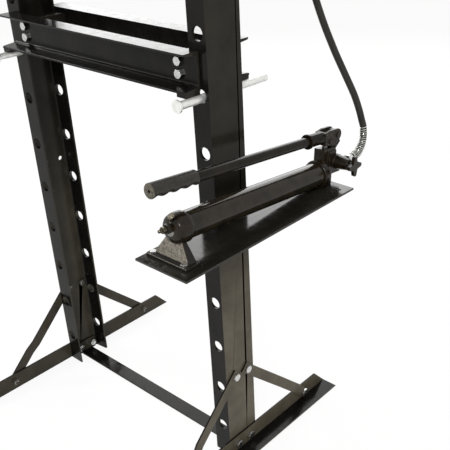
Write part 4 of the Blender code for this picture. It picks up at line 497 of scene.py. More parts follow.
class Bench:
    """Shapes one piece at a time: primitives, edit mode steps and modifiers that are applied."""

    def __init__(self, frame: dict) -> None:
        """Keep the frame that the pieces are fitted to."""
        self.frame = frame

    def pick(self, *things: bpy.types.Object) -> None:
        """Select only these objects, with the first one active."""
        bpy.ops.object.select_all(action="DESELECT")
        for thing in things:
            thing.select_set(True)
        bpy.context.view_layer.objects.active = things[0]

    def fresh(self, name: str) -> bpy.types.Object:
        """Name the primitive that was just added."""
        thing = bpy.context.active_object
        thing.name = name
        return thing

    def settle(self, thing: bpy.types.Object, place: Matrix = Matrix.Identity(4)) -> bpy.types.Object:
        """Put an object's place into its mesh and turn its faces outwards.

        Args:
            thing: The object, still at its own place.
            place: A further place that it goes to.

        Returns:
            The object, at the origin.
        """
        thing.data.transform(place @ thing.matrix_basis)
        thing.matrix_basis = Matrix.Identity(4)
        self.pick(thing)
        bpy.ops.object.mode_set(mode="EDIT")
        bpy.ops.mesh.select_all(action="SELECT")
        bpy.ops.mesh.normals_make_consistent(inside=False)
        bpy.ops.object.mode_set(mode="OBJECT")
        return thing

    def turn(self, name: str, stations: list[tuple[float, float]], place: Matrix = Matrix.Identity(4),
             ends: Ends = Ends.FLAT, sides: int = 64) -> bpy.types.Object:
        """Turn a profile on the lathe: a ring is extruded and resized from station to station.

        Args:
            name: The object's name.
            stations: Radius and height of each ring, in order.
            place: Where the turned shape goes, with its axis along the place's Z.
            ends: Whether its ends are closed or joined through a bore.
            sides: The number of sides.

        Returns:
            The turned object.
        """
        radius, height = stations[0]
        bpy.ops.object.select_all(action="DESELECT")
        bpy.ops.mesh.primitive_circle_add(vertices=sides, radius=radius, location=(0, 0, 0))
        thing = self.fresh(name)
        bpy.ops.object.mode_set(mode="EDIT")
        bpy.ops.mesh.select_all(action="SELECT")
        bpy.ops.transform.translate(value=(0, 0, height))
        for next_radius, next_height in stations[1:]:
            bpy.ops.mesh.extrude_region_move(TRANSFORM_OT_translate={"value": (0, 0, next_height - height)})
            share = next_radius / radius
            bpy.ops.transform.resize(value=(share, share, 1), center_override=(0, 0, next_height))
            radius, height = next_radius, next_height
        if ends is Ends.BORED:
            bpy.ops.mesh.select_all(action="DESELECT")
            bpy.ops.mesh.select_non_manifold()
            bpy.ops.mesh.bridge_edge_loops()
        else:
            bpy.ops.mesh.select_all(action="SELECT")
            bpy.ops.mesh.fill_holes(sides=0)
        bpy.ops.object.mode_set(mode="OBJECT")
        return self.settle(thing, place)

    def from_solid(self, name: str, node: str) -> bpy.types.Object:
        """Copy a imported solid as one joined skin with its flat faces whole.

        Args:
            name: The copy's name.
            node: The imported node.

        Returns:
            The copy.
        """
        thing = bpy.data.objects.new(name, self.frame["nodes"][node].data.copy())
        bpy.context.scene.collection.objects.link(thing)
        thing.data.materials.clear()
        self.pick(thing)
        bpy.ops.mesh.customdata_custom_splitnormals_clear()
        bpy.ops.object.mode_set(mode="EDIT")
        bpy.ops.mesh.select_all(action="SELECT")
        bpy.ops.mesh.remove_doubles(threshold=0.01 * MM)
        bpy.ops.mesh.dissolve_limited(angle_limit=math.radians(0.6))
        bpy.ops.mesh.normals_make_consistent(inside=False)
        bpy.ops.object.mode_set(mode="OBJECT")
        return thing

    def apply(self, thing: bpy.types.Object, kind: str, **settings: object) -> bpy.types.Object:
        """Add a modifier with its settings and apply it at once.

        Args:
            thing: The object.
            kind: The modifier's type.
            settings: The modifier's settings by name.

        Returns:
            The same object.
        """
        self.pick(thing)
        step = thing.modifiers.new(kind.title(), kind)
        for key, value in settings.items():
            setattr(step, key, value)
        bpy.ops.object.modifier_apply(modifier=step.name)
        return thing

    def round_edges(self, thing: bpy.types.Object, width: float, segments: int = 2,
                    sharp: float = 30.0) -> bpy.types.Object:
        """Bevel the sharp edges, with the second material on the rounds.

        Args:
            thing: The object.
            width: The bevel's width.
            segments: Its number of facets.
            sharp: The least angle of an edge that counts as sharp, in degrees.

        Returns:
            The same object.
        """
        edge_slot = 1 if len(thing.data.materials) > 1 else -1
        return self.apply(thing, "BEVEL", width=width, segments=segments, limit_method="ANGLE",
                          angle_limit=math.radians(sharp), material=edge_slot, miter_outer="MITER_ARC")

    def cut(self, thing: bpy.types.Object, tool: bpy.types.Object, operation: str = "DIFFERENCE") -> bpy.types.Object:
        """Cut, join or trim an object with a tool, which is then thrown away.

        Args:
            thing: The object.
            tool: The shape of the cut.
            operation: The Boolean operation.

        Returns:
            The same object.
        """
        self.apply(thing, "BOOLEAN", object=tool, operation=operation, solver="EXACT")
        bpy.data.objects.remove(tool, do_unlink=True)
        return thing

    def soften(self, thing: bpy.types.Object, grain: float, rounds: int) -> bpy.types.Object:
        """Give a casting its foundry corners: the skin is remade fine and eased.

        Args:
            thing: The object.
            grain: The size of the new faces.
            rounds: How often the skin is eased.

        Returns:
            The same object.
        """
        self.apply(thing, "REMESH", mode="VOXEL", voxel_size=grain, use_smooth_shade=True)
        return self.apply(thing, "SMOOTH", factor=0.5, iterations=rounds)

    def copy(self, thing: bpy.types.Object, name: str, place: Matrix) -> bpy.types.Object:
        """Copy a shaped piece, with a mesh of its own, to another place.

        Args:
            thing: The piece to copy, shaped at the origin.
            name: The copy's name.
            place: Where the copy goes.

        Returns:
            The copy.
        """
        mesh = thing.data.copy()
        mesh.transform(place)
        made = bpy.data.objects.new(name, mesh)
        bpy.context.scene.collection.objects.link(made)
        return made

    def join(self, first: bpy.types.Object, *others: bpy.types.Object) -> bpy.types.Object:
        """Join shapes into the first one as one piece."""
        self.pick(first, *others)
        bpy.ops.object.join()
        return first

    def hexagon(self, name: str, across: float, low: float, high: float, both: bool = False) -> bpy.types.Object:
        """Make a hexagon with its corners turned off at 30 degrees, as on a bolt's head or a nut.

        Args:
            name: The object's name.
            across: The size across its flats.
            low: The height of its seat.
            high: The height of its outer face.
            both: Whether the corners are turned off at both faces.

        Returns:
            The hexagon, on the Z axis.
        """
        corner = across / 2 / math.cos(math.pi / 6)
        middle = (low + high) / 2
        bpy.ops.object.select_all(action="DESELECT")
        bpy.ops.mesh.primitive_cylinder_add(vertices=6, radius=corner, depth=high - low, location=(0, 0, middle),
                                            rotation=(0, 0, math.pi / 6))
        thing = self.settle(self.fresh(name))
        face = across / 2 * 0.95
        wide = corner * 1.04
        run = (wide - face) * math.tan(math.pi / 6)
        start = [(face, low), (wide, low + run)] if both else [(wide, low - MM)]
        disc = self.turn(name + "_disc", start + [(wide, high - run), (face, high)], sides=48)
        self.cut(thing, disc, "INTERSECT")
        return self.round_edges(thing, 0.2 * MM, 1)

    def wire(self, name: str, points: list[Vector], radius: float, sides: int = 3) -> bpy.types.Object:
        """Draw a closed round wire along points, as a curve that is made a mesh.

        Args:
            name: The object's name.
            points: The points of its middle line.
            radius: The wire's radius.
            sides: The curve's bevel resolution.

        Returns:
            The wire.
        """
        thing = self.curve(name, points, radius, sides)
        self.pick(thing)
        bpy.ops.object.convert(target="MESH")
        return self.settle(self.fresh(name))

    def curve(self, name: str, points: list[Vector], radius: float, sides: int) -> bpy.types.Object:
        """Draw a round curve along points, with its ends closed.

        Args:
            name: The object's name.
            points: The points of its middle line.
            radius: Its radius.
            sides: Its bevel resolution.

        Returns:
            The curve object.
        """
        line = bpy.data.curves.new(name, "CURVE")
        line.dimensions = "3D"
        line.bevel_depth = radius
        line.bevel_resolution = sides
        line.use_fill_caps = True
        spline = line.splines.new("POLY")
        spline.points.add(len(points) - 1)
        spline.use_smooth = True
        for target, spot in zip(spline.points, points):
            target.co = (*spot, 1)
        thing = bpy.data.objects.new(name, line)
        bpy.context.scene.collection.objects.link(thing)
        return thing

    def dress(self, thing: bpy.types.Object, finish: Finish, body: str, nodes: tuple[str, ...] = (),
              smooth: float = 32.0) -> bpy.types.Object:
        """Give a finished piece its material, the body it rides on and the solids it stands for.

        Args:
            thing: The finished piece.
            finish: Its finish.
            body: The body that it rides on.
            nodes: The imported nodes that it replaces.
            smooth: The angle under which neighbouring faces are shaded as one, in degrees.

        Returns:
            The same piece.
        """
        if not thing.data.materials:
            thing.data.materials.append(material(finish))
        if thing.type == "MESH":
            self.pick(thing)
            bpy.ops.object.shade_smooth_by_angle(angle=math.radians(smooth))
            self.apply(thing, "WEIGHTED_NORMAL", keep_sharp=True)
        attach(thing, body)
        if nodes:
            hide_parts(*nodes)
        log.info("%s: %s, rides on %s", thing.name, finish.name, body)
        return thing

    def two_finishes(self, thing: bpy.types.Object, finish: Finish) -> bpy.types.Object:
        """Give a piece its finish with a rubbed twin for its rounded edges."""
        thing.data.materials.clear()
        thing.data.materials.append(material(finish))
        thing.data.materials.append(material(finish, Worn.EDGE))
        return thing

    def refined(self, node: str, finish: Finish, width: float, segments: int = 2,
                holes: list[tuple[Vector, Vector, float, float]] = []) -> bpy.types.Object:
        """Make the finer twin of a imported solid: round holes, eased edges and a real finish.

        Args:
            node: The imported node, whose name with "_skin" the twin gets.
            finish: The twin's finish.
            width: The width of the eased edges.
            segments: Their number of facets.
            holes: Middle, axis, radius and half length of each hole that is drilled round.

        Returns:
            The dressed piece.
        """
        thing = self.from_solid(node + "_skin", node)
        for middle, axis, radius, reach in holes:
            drill = self.turn("drill", [(radius, -reach), (radius, reach)], along(middle, axis), sides=48)
            self.cut(thing, drill)
        self.two_finishes(thing, finish)
        self.round_edges(thing, width, segments)
        return self.dress(thing, finish, self.frame["nodes"][node]["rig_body"], (node,))


# Camera, lamps and backdrop


@dataclass(frozen=True)
class PhotoCamera:
    """The camera that took the photograph, found from the frame's straight edges."""

    place: tuple[float, float, float] = (1.3862, -1.0756, 1.4187)
    yaw_degrees: float = 39.74
    pitch_degrees: float = 29.13
    roll_degrees: float = -0.675
    lens_mm: float = 59.24
    shift: tuple[float, float] = (-0.1308, 0.0637)

    def set_up(self) -> None:
        """Create the camera and make it the scene's own."""
        lens = bpy.data.cameras.new("photo_camera")
        lens.lens = self.lens_mm
        lens.shift_x, lens.shift_y = self.shift
        camera = bpy.data.objects.new("photo_camera", lens)
        bpy.context.scene.collection.objects.link(camera)
        yaw = Matrix.Rotation(math.radians(self.yaw_degrees), 4, "Z")
        tilt = Matrix.Rotation(math.radians(90 - self.pitch_degrees), 4, "X")
        roll = Matrix.Rotation(math.radians(self.roll_degrees), 4, "Z")
        camera.matrix_world = Matrix.Translation(self.place) @ yaw @ tilt @ roll
        bpy.context.scene.camera = camera


@dataclass(frozen=True)
class Studio:
    """A plain pale studio: even light all round, soft lamps and a white floor that keeps the shadow."""

    world_strength: float = 0.62
    floor_size: float = 60.0
    floor_tone: str = "f4f4f2"
    floor_glow_share: float = 0.90
    lamps: tuple[tuple[tuple[float, float, float], float, float], ...] = (
        ((2.6, -3.4, 3.6), 0.9, 95.0),
        ((-3.2, -1.2, 3.0), 1.0, 50.0),
        ((-1.9, 2.9, 2.7), 3.4, 110.0),
    )

    def set_up(self) -> None:
        """Make the world, the lamps and the floor."""
        scene = bpy.context.scene
        scene.view_settings.view_transform = "Standard"
        self.make_world(scene)
        for index, (spot, size, power) in enumerate(self.lamps):
            self.make_lamp(index, Vector(spot), size, power)
        self.make_floor()

    def make_world(self, scene: bpy.types.Scene) -> None:
        """Light the scene evenly, with pure white behind it for the camera and in reflections.

        Args:
            scene: The scene that gets the world.
        """
        world = bpy.data.worlds.new("pale_room")
        world.use_nodes = True
        scene.world = world
        tree = world.node_tree
        output = tree.nodes["World Output"]
        light = tree.nodes["Background"]
        light.inputs["Color"].default_value = (1, 1, 1, 1)
        light.inputs["Strength"].default_value = self.world_strength
        white = add_node(tree, "ShaderNodeBackground", {"Color": (1, 1, 1, 1), "Strength": 1.0})
        seen = self.seen_directly(tree)
        mix = add_node(tree, "ShaderNodeMixShader", {}, {0: seen, 1: light.outputs[0], 2: white.outputs[0]})
        tree.links.new(mix.outputs[0], output.inputs["Surface"])

    def seen_directly(self, tree: bpy.types.NodeTree) -> bpy.types.NodeSocket:
        """Tell camera rays, mirror rays and rays through glass from those that light the scene.

        Args:
            tree: The node tree of the world or of the floor's material.

        Returns:
            The socket that is one for such a ray.
        """
        path = add_node(tree, "ShaderNodeLightPath")
        seen = path.outputs["Is Camera Ray"]
        for name in ("Is Glossy Ray", "Is Transmission Ray"):
            step = add_node(tree, "ShaderNodeMath", {"operation": "MAXIMUM"}, {0: seen, 1: path.outputs[name]})
            seen = step.outputs[0]
        return seen

    def make_lamp(self, index: int, spot: Vector, size: float, power: float) -> None:
        """Hang a square soft lamp that faces the middle of the press.

        Args:
            index: The lamp's number.
            spot: Where it hangs.
            size: The length of its side.
            power: Its power in watts.
        """
        lamp = bpy.data.lights.new(f"soft_lamp_{index}", "AREA")
        lamp.size = size
        lamp.energy = power
        thing = bpy.data.objects.new(lamp.name, lamp)
        bpy.context.scene.collection.objects.link(thing)
        aim = Vector((0.2, 0, 0.8)) - spot
        thing.location = spot
        thing.rotation_euler = aim.to_track_quat("-Z", "Y").to_euler()

    def make_floor(self) -> None:
        """Lay a white floor that still shows the shadow."""
        bpy.ops.object.select_all(action="DESELECT")
        bpy.ops.mesh.primitive_plane_add(size=self.floor_size, location=(0, 0, -GAP))
        floor = bpy.context.active_object
        floor.name = "studio_floor"
        made = bpy.data.materials.new("white studio floor")
        made.use_nodes = True
        tree = made.node_tree
        shader = tree.nodes["Principled BSDF"]
        shader.inputs["Base Color"].default_value = linear(self.floor_tone)
        shader.inputs["Roughness"].default_value = 0.9
        shader.inputs["Specular IOR Level"].default_value = 0.0
        glow = add_node(tree, "ShaderNodeEmission", {"Color": (1, 1, 1, 1), "Strength": 1.0})
        settings = {"operation": "MULTIPLY", 1: self.floor_glow_share}
        share = add_node(tree, "ShaderNodeMath", settings, {0: self.seen_directly(tree)})
        links = {0: share.outputs[0], 1: shader.outputs[0], 2: glow.outputs[0]}
        mix = add_node(tree, "ShaderNodeMixShader", {}, links)
        tree.links.new(mix.outputs[0], tree.nodes["Material Output"].inputs["Surface"])
        floor.data.materials.append(made)


# Fasteners


@dataclass
class Fasteners:
    """Hexagon bolts and nuts, shaped once for each size and copied to each place."""

    bench: Bench
    across_share: float = 1.55
    head_share: float = 0.62
    nut_share: float = 0.80
    tip_share: float = 0.30
    pitch_share: float = 0.15
    cover: float = 0.15 * MM

    def __post_init__(self) -> None:
        """Start with no bolt shaped."""
        self.heads = {}
        self.nuts = {}

    def head(self, dia: float) -> bpy.types.Object:
        """Give the bolt head of a size, its seat at height zero and its face up.

        Args:
            dia: The bolt's diameter.

        Returns:
            The head, kept out of the render.
        """
        if dia not in self.heads:
            across = dia * self.across_share + 2 * self.cover
            high = dia * self.head_share + self.cover
            head = self.bench.hexagon("bolt_head_pattern", across, 0, high)
            boss = self.bench.turn("boss", [(across * 0.47, -self.cover), (across * 0.47, 0.4 * MM)], sides=48)
            self.heads[dia] = self.keep(self.bench.join(head, boss))
        return self.heads[dia]

    def nut(self, dia: float) -> bpy.types.Object:
        """Give the nut of a size with the bolt's end, its seat at height zero and the thread's end up.

        Args:
            dia: The bolt's diameter.

        Returns:
            The nut, kept out of the render.
        """
        if dia not in self.nuts:
            across = dia * self.across_share + 2 * self.cover
            face = dia * self.nut_share
            nut = self.bench.hexagon("nut_pattern", across, -self.cover, face + self.cover, both=True)
            pitch = dia * self.pitch_share
            root = dia / 2 * 0.88
            crest = dia / 2 + self.cover
            stations = [(root, face / 2)]
            height = face
            while height + pitch < face + dia * self.tip_share:
                stations += [(root, height), (crest, height + pitch * 0.4), (crest, height + pitch * 0.6)]
                height += pitch
            stations += [(root, height), (root, face + dia * self.tip_share + self.cover)]
            thread = self.bench.turn("thread", stations, sides=32)
            self.nuts[dia] = self.keep(self.bench.join(nut, thread))
        return self.nuts[dia]

    def keep(self, pattern: bpy.types.Object) -> bpy.types.Object:
        """Take a pattern out of the scene, so that only its copies show."""
        bpy.context.scene.collection.objects.unlink(pattern)
        return pattern

    def fix(self, name: str, seat: Vector, outward: Vector, dia: float, grip: float | None, body: str,
            nodes: tuple[str, ...] = ()) -> bpy.types.Object:
        """Place a bolt: its head at the seat, and its nut at the far end of the grip.

        Args:
            name: The piece's name.
            seat: The middle of the head's seat.
            outward: The direction from the seat out through the head.
            dia: The bolt's diameter.
            grip: The length between head and nut, or None for a bolt without a nut.
            body: The body that it rides on.
            nodes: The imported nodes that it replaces.

        Returns:
            The dressed bolt.
        """
        place = along(seat, outward)
        piece = self.bench.copy(self.head(dia), name, place)
        if grip is not None:
            flip = Matrix.Translation((0, 0, -grip)) @ Matrix.Rotation(math.pi, 4, "X")
            nut = self.bench.copy(self.nut(dia), name + "_nut", place @ flip)
            shank = self.bench.turn(name + "_shank", [(dia / 2, -grip - dia / 4), (dia / 2, dia / 4)], place,
                                    sides=32)
            self.bench.join(piece, nut, shank)
        return self.bench.dress(piece, ZINC_PLATE, body, nodes)

    def fix_node(self, node: str, dia: float, outward: Vector) -> bpy.types.Object:
        """Replace a packed bolt by a finer one with the same ends.

        Args:
            node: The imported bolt.
            dia: Its diameter.
            outward: The direction out through its head, along one of the axes.

        Returns:
            The dressed bolt.
        """
        low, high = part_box(node)
        middle = (low + high) / 2
        reach = abs((high - low).dot(outward))
        seat = middle + outward * (reach / 2 - dia * self.head_share)
        grip = reach - dia * (self.head_share + self.nut_share + self.tip_share)
        body = self.bench.frame["nodes"][node]["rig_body"]
        return self.fix(node + "_fastener", seat, outward, dia, grip, body, (node,))


# Sub-assemblies


@dataclass
class PressFrame:
    """Two posts with their feet and braces, the tie bar and the crown of two channels."""

    bench: Bench
    bolts: Fasteners
    pin_hole_radius: float = 14.56 * MM
    first_pin_hole: float = 0.0925
    pin_hole_pitch: float = 0.1250
    pin_hole_count: int = 11
    pin_hole_place: float = 0.3202
    flange_reach: float = 0.060
    crown_bolt: float = 0.016
    frame_bolt: float = 0.012
    web_face: float = 0.3428
    wall: float = 0.0050
    post_wall: float = 0.0053

    def build(self) -> None:
        """Shape and dress the posts, the feet, the braces, the tie bar and the crown."""
        for side, name in ((-1, "left"), (1, "right")):
            heights = [self.first_pin_hole + index * self.pin_hole_pitch for index in range(self.pin_hole_count)]
            spots = [Vector((side * self.pin_hole_place, 0, height)) for height in heights]
            holes = [(spot, Vector((0, 1, 0)), self.pin_hole_radius, self.flange_reach) for spot in spots]
            self.bench.refined("upright_" + name, FRAME_PAINT, 0.7 * MM, holes=holes)
            self.bench.refined("foot_" + name, FRAME_PAINT, 0.8 * MM)
            for turn, place in ((-1, "front"), (1, "rear")):
                self.bench.refined("brace_" + name + "_" + place, FRAME_PAINT, 0.5 * MM)
                self.brace_bolts(side, turn, name + "_" + place)
                self.tie_bolt(side, turn, name + "_" + place)
            for place in ("lower", "upper"):
                self.bolts.fix_node(f"crown_bolt_{name}_{place}", self.crown_bolt, Vector((0, -1, 0)))
        self.bench.refined("tie_bar", FRAME_PAINT, 0.5 * MM)
        for place in ("front", "rear"):
            self.bench.refined("crown_channel_" + place, FRAME_PAINT, 0.8 * MM)

    def brace_bolts(self, side: int, turn: int, name: str) -> None:
        """Fit the two bolts of one brace.

        Args:
            side: Minus one for the left post and one for the right.
            turn: Minus one for the front brace and one for the rear.
            name: The brace's own part of the name.
        """
        out = Vector((side, 0, 0))
        top = Vector((side * (self.web_face + self.wall), turn * 0.0215, 0.245))
        low = Vector((side * (self.web_face + 2 * self.wall + GAP), turn * 0.250, 0.026))
        web_grip = self.wall + GAP + self.post_wall
        self.bolts.fix(f"brace_top_bolt_{name}", top, out, self.frame_bolt, web_grip, "frame")
        self.bolts.fix(f"brace_foot_bolt_{name}", low, out, self.frame_bolt, 2 * self.wall + GAP, "frame")

    def tie_bolt(self, side: int, turn: int, name: str) -> None:
        """Fit one bolt through foot, web and tie bar.

        Args:
            side: Minus one for the left post and one for the right.
            turn: Minus one for the front bolt and one for the rear.
            name: The bolt's own part of the name.
        """
        seat = Vector((side * (self.web_face + self.wall), turn * 0.0225, 0.0235))
        grip = 2 * self.wall + self.post_wall + 2 * GAP
        self.bolts.fix(f"tie_bolt_{name}", seat, Vector((side, 0, 0)), self.frame_bolt, grip, "frame")


@dataclass
class Cylinder:
    """The cylinder under the crown with its plate, rings and ram, all turned on one axis."""

    bench: Bench
    bolts: Fasteners
    bore: float = 0.0300
    body_radius: float = 0.0390
    collar_radius: float = 0.0500
    collar_height: float = 0.0250
    rod_radius: float = 0.0200
    ease: float = 0.8 * MM
    plate_bolt: float = 0.012
    plate_bolt_spot: tuple[float, float] = (0.065, 0.079)
    plate_grip: float = 0.0312
    spring_wire: float = 0.0038
    spring_radius: float = 0.0250
    spring_curls: int = 10
    spring_keep: float = 0.33

    def build(self) -> None:
        """Shape and dress the plate, the cylinder's pieces, the ram and its spring."""
        self.bench.refined("cylinder_plate", FRAME_PAINT, 1.0 * MM)
        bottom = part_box("cylinder_body")[0].z
        plate_bottom = self.plate_bottom()
        for x_side in (-1, 1):
            for y_side in (-1, 1):
                seat = Vector((x_side * self.plate_bolt_spot[0], y_side * self.plate_bolt_spot[1], plate_bottom))
                name = f"plate_bolt_{'left' if x_side < 0 else 'right'}_{'front' if y_side < 0 else 'rear'}"
                self.bolts.fix(name, seat, Vector((0, 0, -1)), self.plate_bolt, self.plate_grip, "frame")
        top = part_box("cylinder_body")[1].z
        collar_top = plate_bottom - GAP
        body = self.bench.turn("cylinder_barrel", [
            (self.bore, bottom), (self.body_radius, bottom), (self.body_radius, collar_top - self.collar_height),
            (self.collar_radius - 3 * MM, collar_top - self.collar_height),
            (self.collar_radius, collar_top - self.collar_height + 3 * MM), (self.collar_radius, collar_top),
            (self.body_radius, collar_top), (self.body_radius, top), (self.bore, top),
        ], ends=Ends.BORED, sides=96)
        self.trim(body, FRAME_PAINT, "frame", "cylinder_body")
        self.bench.refined("cylinder_lock_ring", TURNED_STEEL, 0.5 * MM)
        self.make_cap()
        self.make_gland()
        self.make_ram()

    def plate_bottom(self) -> float:
        """Give the height of the plate's under side, under which the bolt heads hang."""
        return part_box("cylinder_lock_ring")[0].z - GAP - 0.020

    def trim(self, thing: bpy.types.Object, finish: Finish, body: str, node: str) -> None:
        """Ease a turned piece's edges and dress it.

        Args:
            thing: The turned piece.
            finish: Its finish.
            body: The body that it rides on.
            node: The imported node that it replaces.
        """
        self.bench.two_finishes(thing, finish)
        self.bench.round_edges(thing, self.ease, 2)
        self.bench.dress(thing, finish, body, (node,))

    def make_cap(self) -> None:
        """Turn the cap with its spigot in the bore."""
        low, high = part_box("cylinder_cap")
        shank = 0.0083
        cap = self.bench.turn("cylinder_top_cap", [
            (shank, low.z), (self.bore - GAP, low.z), (self.bore - GAP, low.z + 0.0103),
            (self.body_radius, low.z + 0.0103), (self.body_radius, high.z - 3 * MM),
            (self.body_radius - 3 * MM, high.z), (shank, high.z),
        ], ends=Ends.BORED, sides=96)
        self.trim(cap, FRAME_PAINT, "frame", "cylinder_cap")

    def make_gland(self) -> None:
        """Turn the gland that closes the bore round the rod, and the wiper let into its face."""
        low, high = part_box("cylinder_gland")
        wiper_low, wiper_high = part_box("rod_wiper")
        wiper_radius = wiper_high.x
        flange_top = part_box("cylinder_body")[0].z - GAP
        rod_hole = self.rod_radius + GAP
        gland = self.bench.turn("rod_gland", [
            (wiper_radius + GAP, low.z), (self.body_radius - 3 * MM, low.z), (self.body_radius - 3 * MM, flange_top),
            (self.bore - GAP, flange_top), (self.bore - GAP, high.z), (rod_hole, high.z),
            (rod_hole, wiper_high.z + GAP), (wiper_radius + GAP, wiper_high.z + GAP),
        ], ends=Ends.BORED, sides=96)
        self.trim(gland, TURNED_STEEL, "frame", "cylinder_gland")
        wiper = self.bench.turn("rod_wiper_ring", [
            (rod_hole, wiper_low.z), (rod_hole + 1.2 * MM, wiper_low.z), (wiper_radius - 1 * MM, wiper_low.z + 0.8 * MM),
            (wiper_radius, wiper_low.z + 1.6 * MM), (wiper_radius, wiper_high.z), (rod_hole, wiper_high.z),
        ], ends=Ends.BORED, sides=96)
        self.bench.dress(wiper, SEAL_RUBBER, "frame", ("rod_wiper",))

    def make_ram(self) -> None:
        """Turn the rod, the piston with its seal and the foot, and wind the return spring."""
        rod_low, rod_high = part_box("ram_rod")
        piston_low, piston_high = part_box("ram_piston")
        seal_low, seal_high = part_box("piston_seal")
        foot_low, foot_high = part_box("ram_foot")
        neck = 0.0120
        rod = self.bench.turn("chromed_rod", [
            (self.rod_radius, rod_low.z), (self.rod_radius, piston_low.z - GAP), (neck, piston_low.z - GAP),
            (neck, rod_high.z),
        ], sides=96)
        self.trim(rod, HARD_CHROME, "ram", "ram_rod")
        outer = self.bore - GAP
        groove = outer - 4 * MM
        piston = self.bench.turn("piston", [
            (neck + 0.4 * MM, piston_low.z), (outer, piston_low.z), (outer, seal_low.z - GAP),
            (groove, seal_low.z - GAP), (groove, seal_high.z + GAP), (outer, seal_high.z + GAP),
            (outer, piston_high.z), (neck + 0.4 * MM, piston_high.z),
        ], ends=Ends.BORED, sides=96)
        self.trim(piston, TURNED_STEEL, "ram", "ram_piston")
        seal = self.bench.turn("piston_cup_seal", [
            (groove + GAP, seal_low.z), (outer, seal_low.z), (outer - 0.6 * MM, (seal_low.z + seal_high.z) / 2),
            (outer, seal_high.z), (groove + GAP, seal_high.z),
        ], ends=Ends.BORED, sides=96)
        self.bench.dress(seal, SEAL_RUBBER, "ram", ("piston_seal",))
        self.make_foot(foot_low.z, foot_high.z, rod_low.z)
        self.wind_spring()

    def make_foot(self, low: float, high: float, rod_end: float) -> None:
        """Turn the pressing foot, a cup over the rod's end with a grip groove round it.

        Args:
            low: The height of its pressing face.
            high: The height of its skirt's edge.
            rod_end: The height of the rod's end.
        """
        skirt = self.rod_radius + GAP
        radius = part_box("ram_foot")[1].x
        groove = radius - 1.2 * MM
        middle = (low + high) / 2
        foot = self.bench.turn("pressing_foot", [
            (skirt, rod_end - GAP), (skirt, high), (radius - 3 * MM, high), (radius, high - 3 * MM),
            (radius, middle + 2 * MM), (groove, middle + 1.2 * MM), (groove, middle - 1.2 * MM),
            (radius, middle - 2 * MM), (radius, low + 3 * MM), (radius - 3 * MM, low),
        ], sides=96)
        self.bench.two_finishes(foot, TURNED_STEEL)
        self.bench.round_edges(foot, 0.5 * MM, 1)
        self.bench.dress(foot, TURNED_STEEL, "ram", ("ram_foot",))

    def wind_spring(self) -> None:
        """Wind the return spring between gland and piston; in the real press it is pressed together as the ram comes
        out.
        """
        low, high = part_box("return_spring")
        points = []
        steps = 28
        start = low.z + self.spring_wire / 2
        rise = high.z - low.z - self.spring_wire
        for index in range(self.spring_curls * steps + 1):
            angle = 2 * math.pi * index / steps
            reach = self.spring_radius
            points.append(Vector((reach * math.cos(angle), reach * math.sin(angle),
                                  start + rise * index / (self.spring_curls * steps))))
        spring = self.bench.wire("ram_return_spring", points, self.spring_wire / 2)
        self.bench.dress(spring, TURNED_STEEL, "frame", ("return_spring",))
        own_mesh(spring)


@dataclass
class Bed:
    """The bed of two channels with its spacers and bolts, and the two loose pins that carry it."""

    bench: Bench
    bolts: Fasteners
    bolt: float = 0.012
    pin_radius: float = 0.0090
    pin_head_radius: float = 0.0140
    pin_head_length: float = 0.0050
    pin_tip: float = 0.0020

    def build(self) -> None:
        """Shape and dress the channels, the spacers, the bolts and the pins."""
        for place in ("front", "rear"):
            self.bench.refined("bed_channel_" + place, FRAME_PAINT, 0.7 * MM)
        for side in ("left", "right"):
            self.bench.refined("bed_spacer_" + side, FRAME_PAINT, 0.8 * MM)
            for place in ("lower", "upper"):
                self.bolts.fix_node(f"bed_bolt_{side}_{place}", self.bolt, Vector((0, -1, 0)))
            self.make_pin(side)

    def make_pin(self, side: str) -> None:
        """Turn one pin with a flat head at the front and an eased tip at the back.

        Args:
            side: The post that it goes through.
        """
        low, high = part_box("bed_pin_" + side)
        middle = (low + high) / 2
        head_start = -low.y - self.pin_head_length
        pin = self.bench.turn("bed_pin_" + side + "_bar", [
            (self.pin_radius - self.pin_tip, -high.y), (self.pin_radius, -high.y + self.pin_tip),
            (self.pin_radius, head_start), (self.pin_head_radius, head_start),
            (self.pin_head_radius, head_start + self.pin_head_length),
        ], along((middle.x, 0, middle.z), (0, -1, 0)), sides=64)
        self.bench.two_finishes(pin, GALVANISED)
        self.bench.round_edges(pin, 0.6 * MM, 2)
        self.bench.dress(pin, GALVANISED, side + "_pin", ("bed_pin_" + side,))


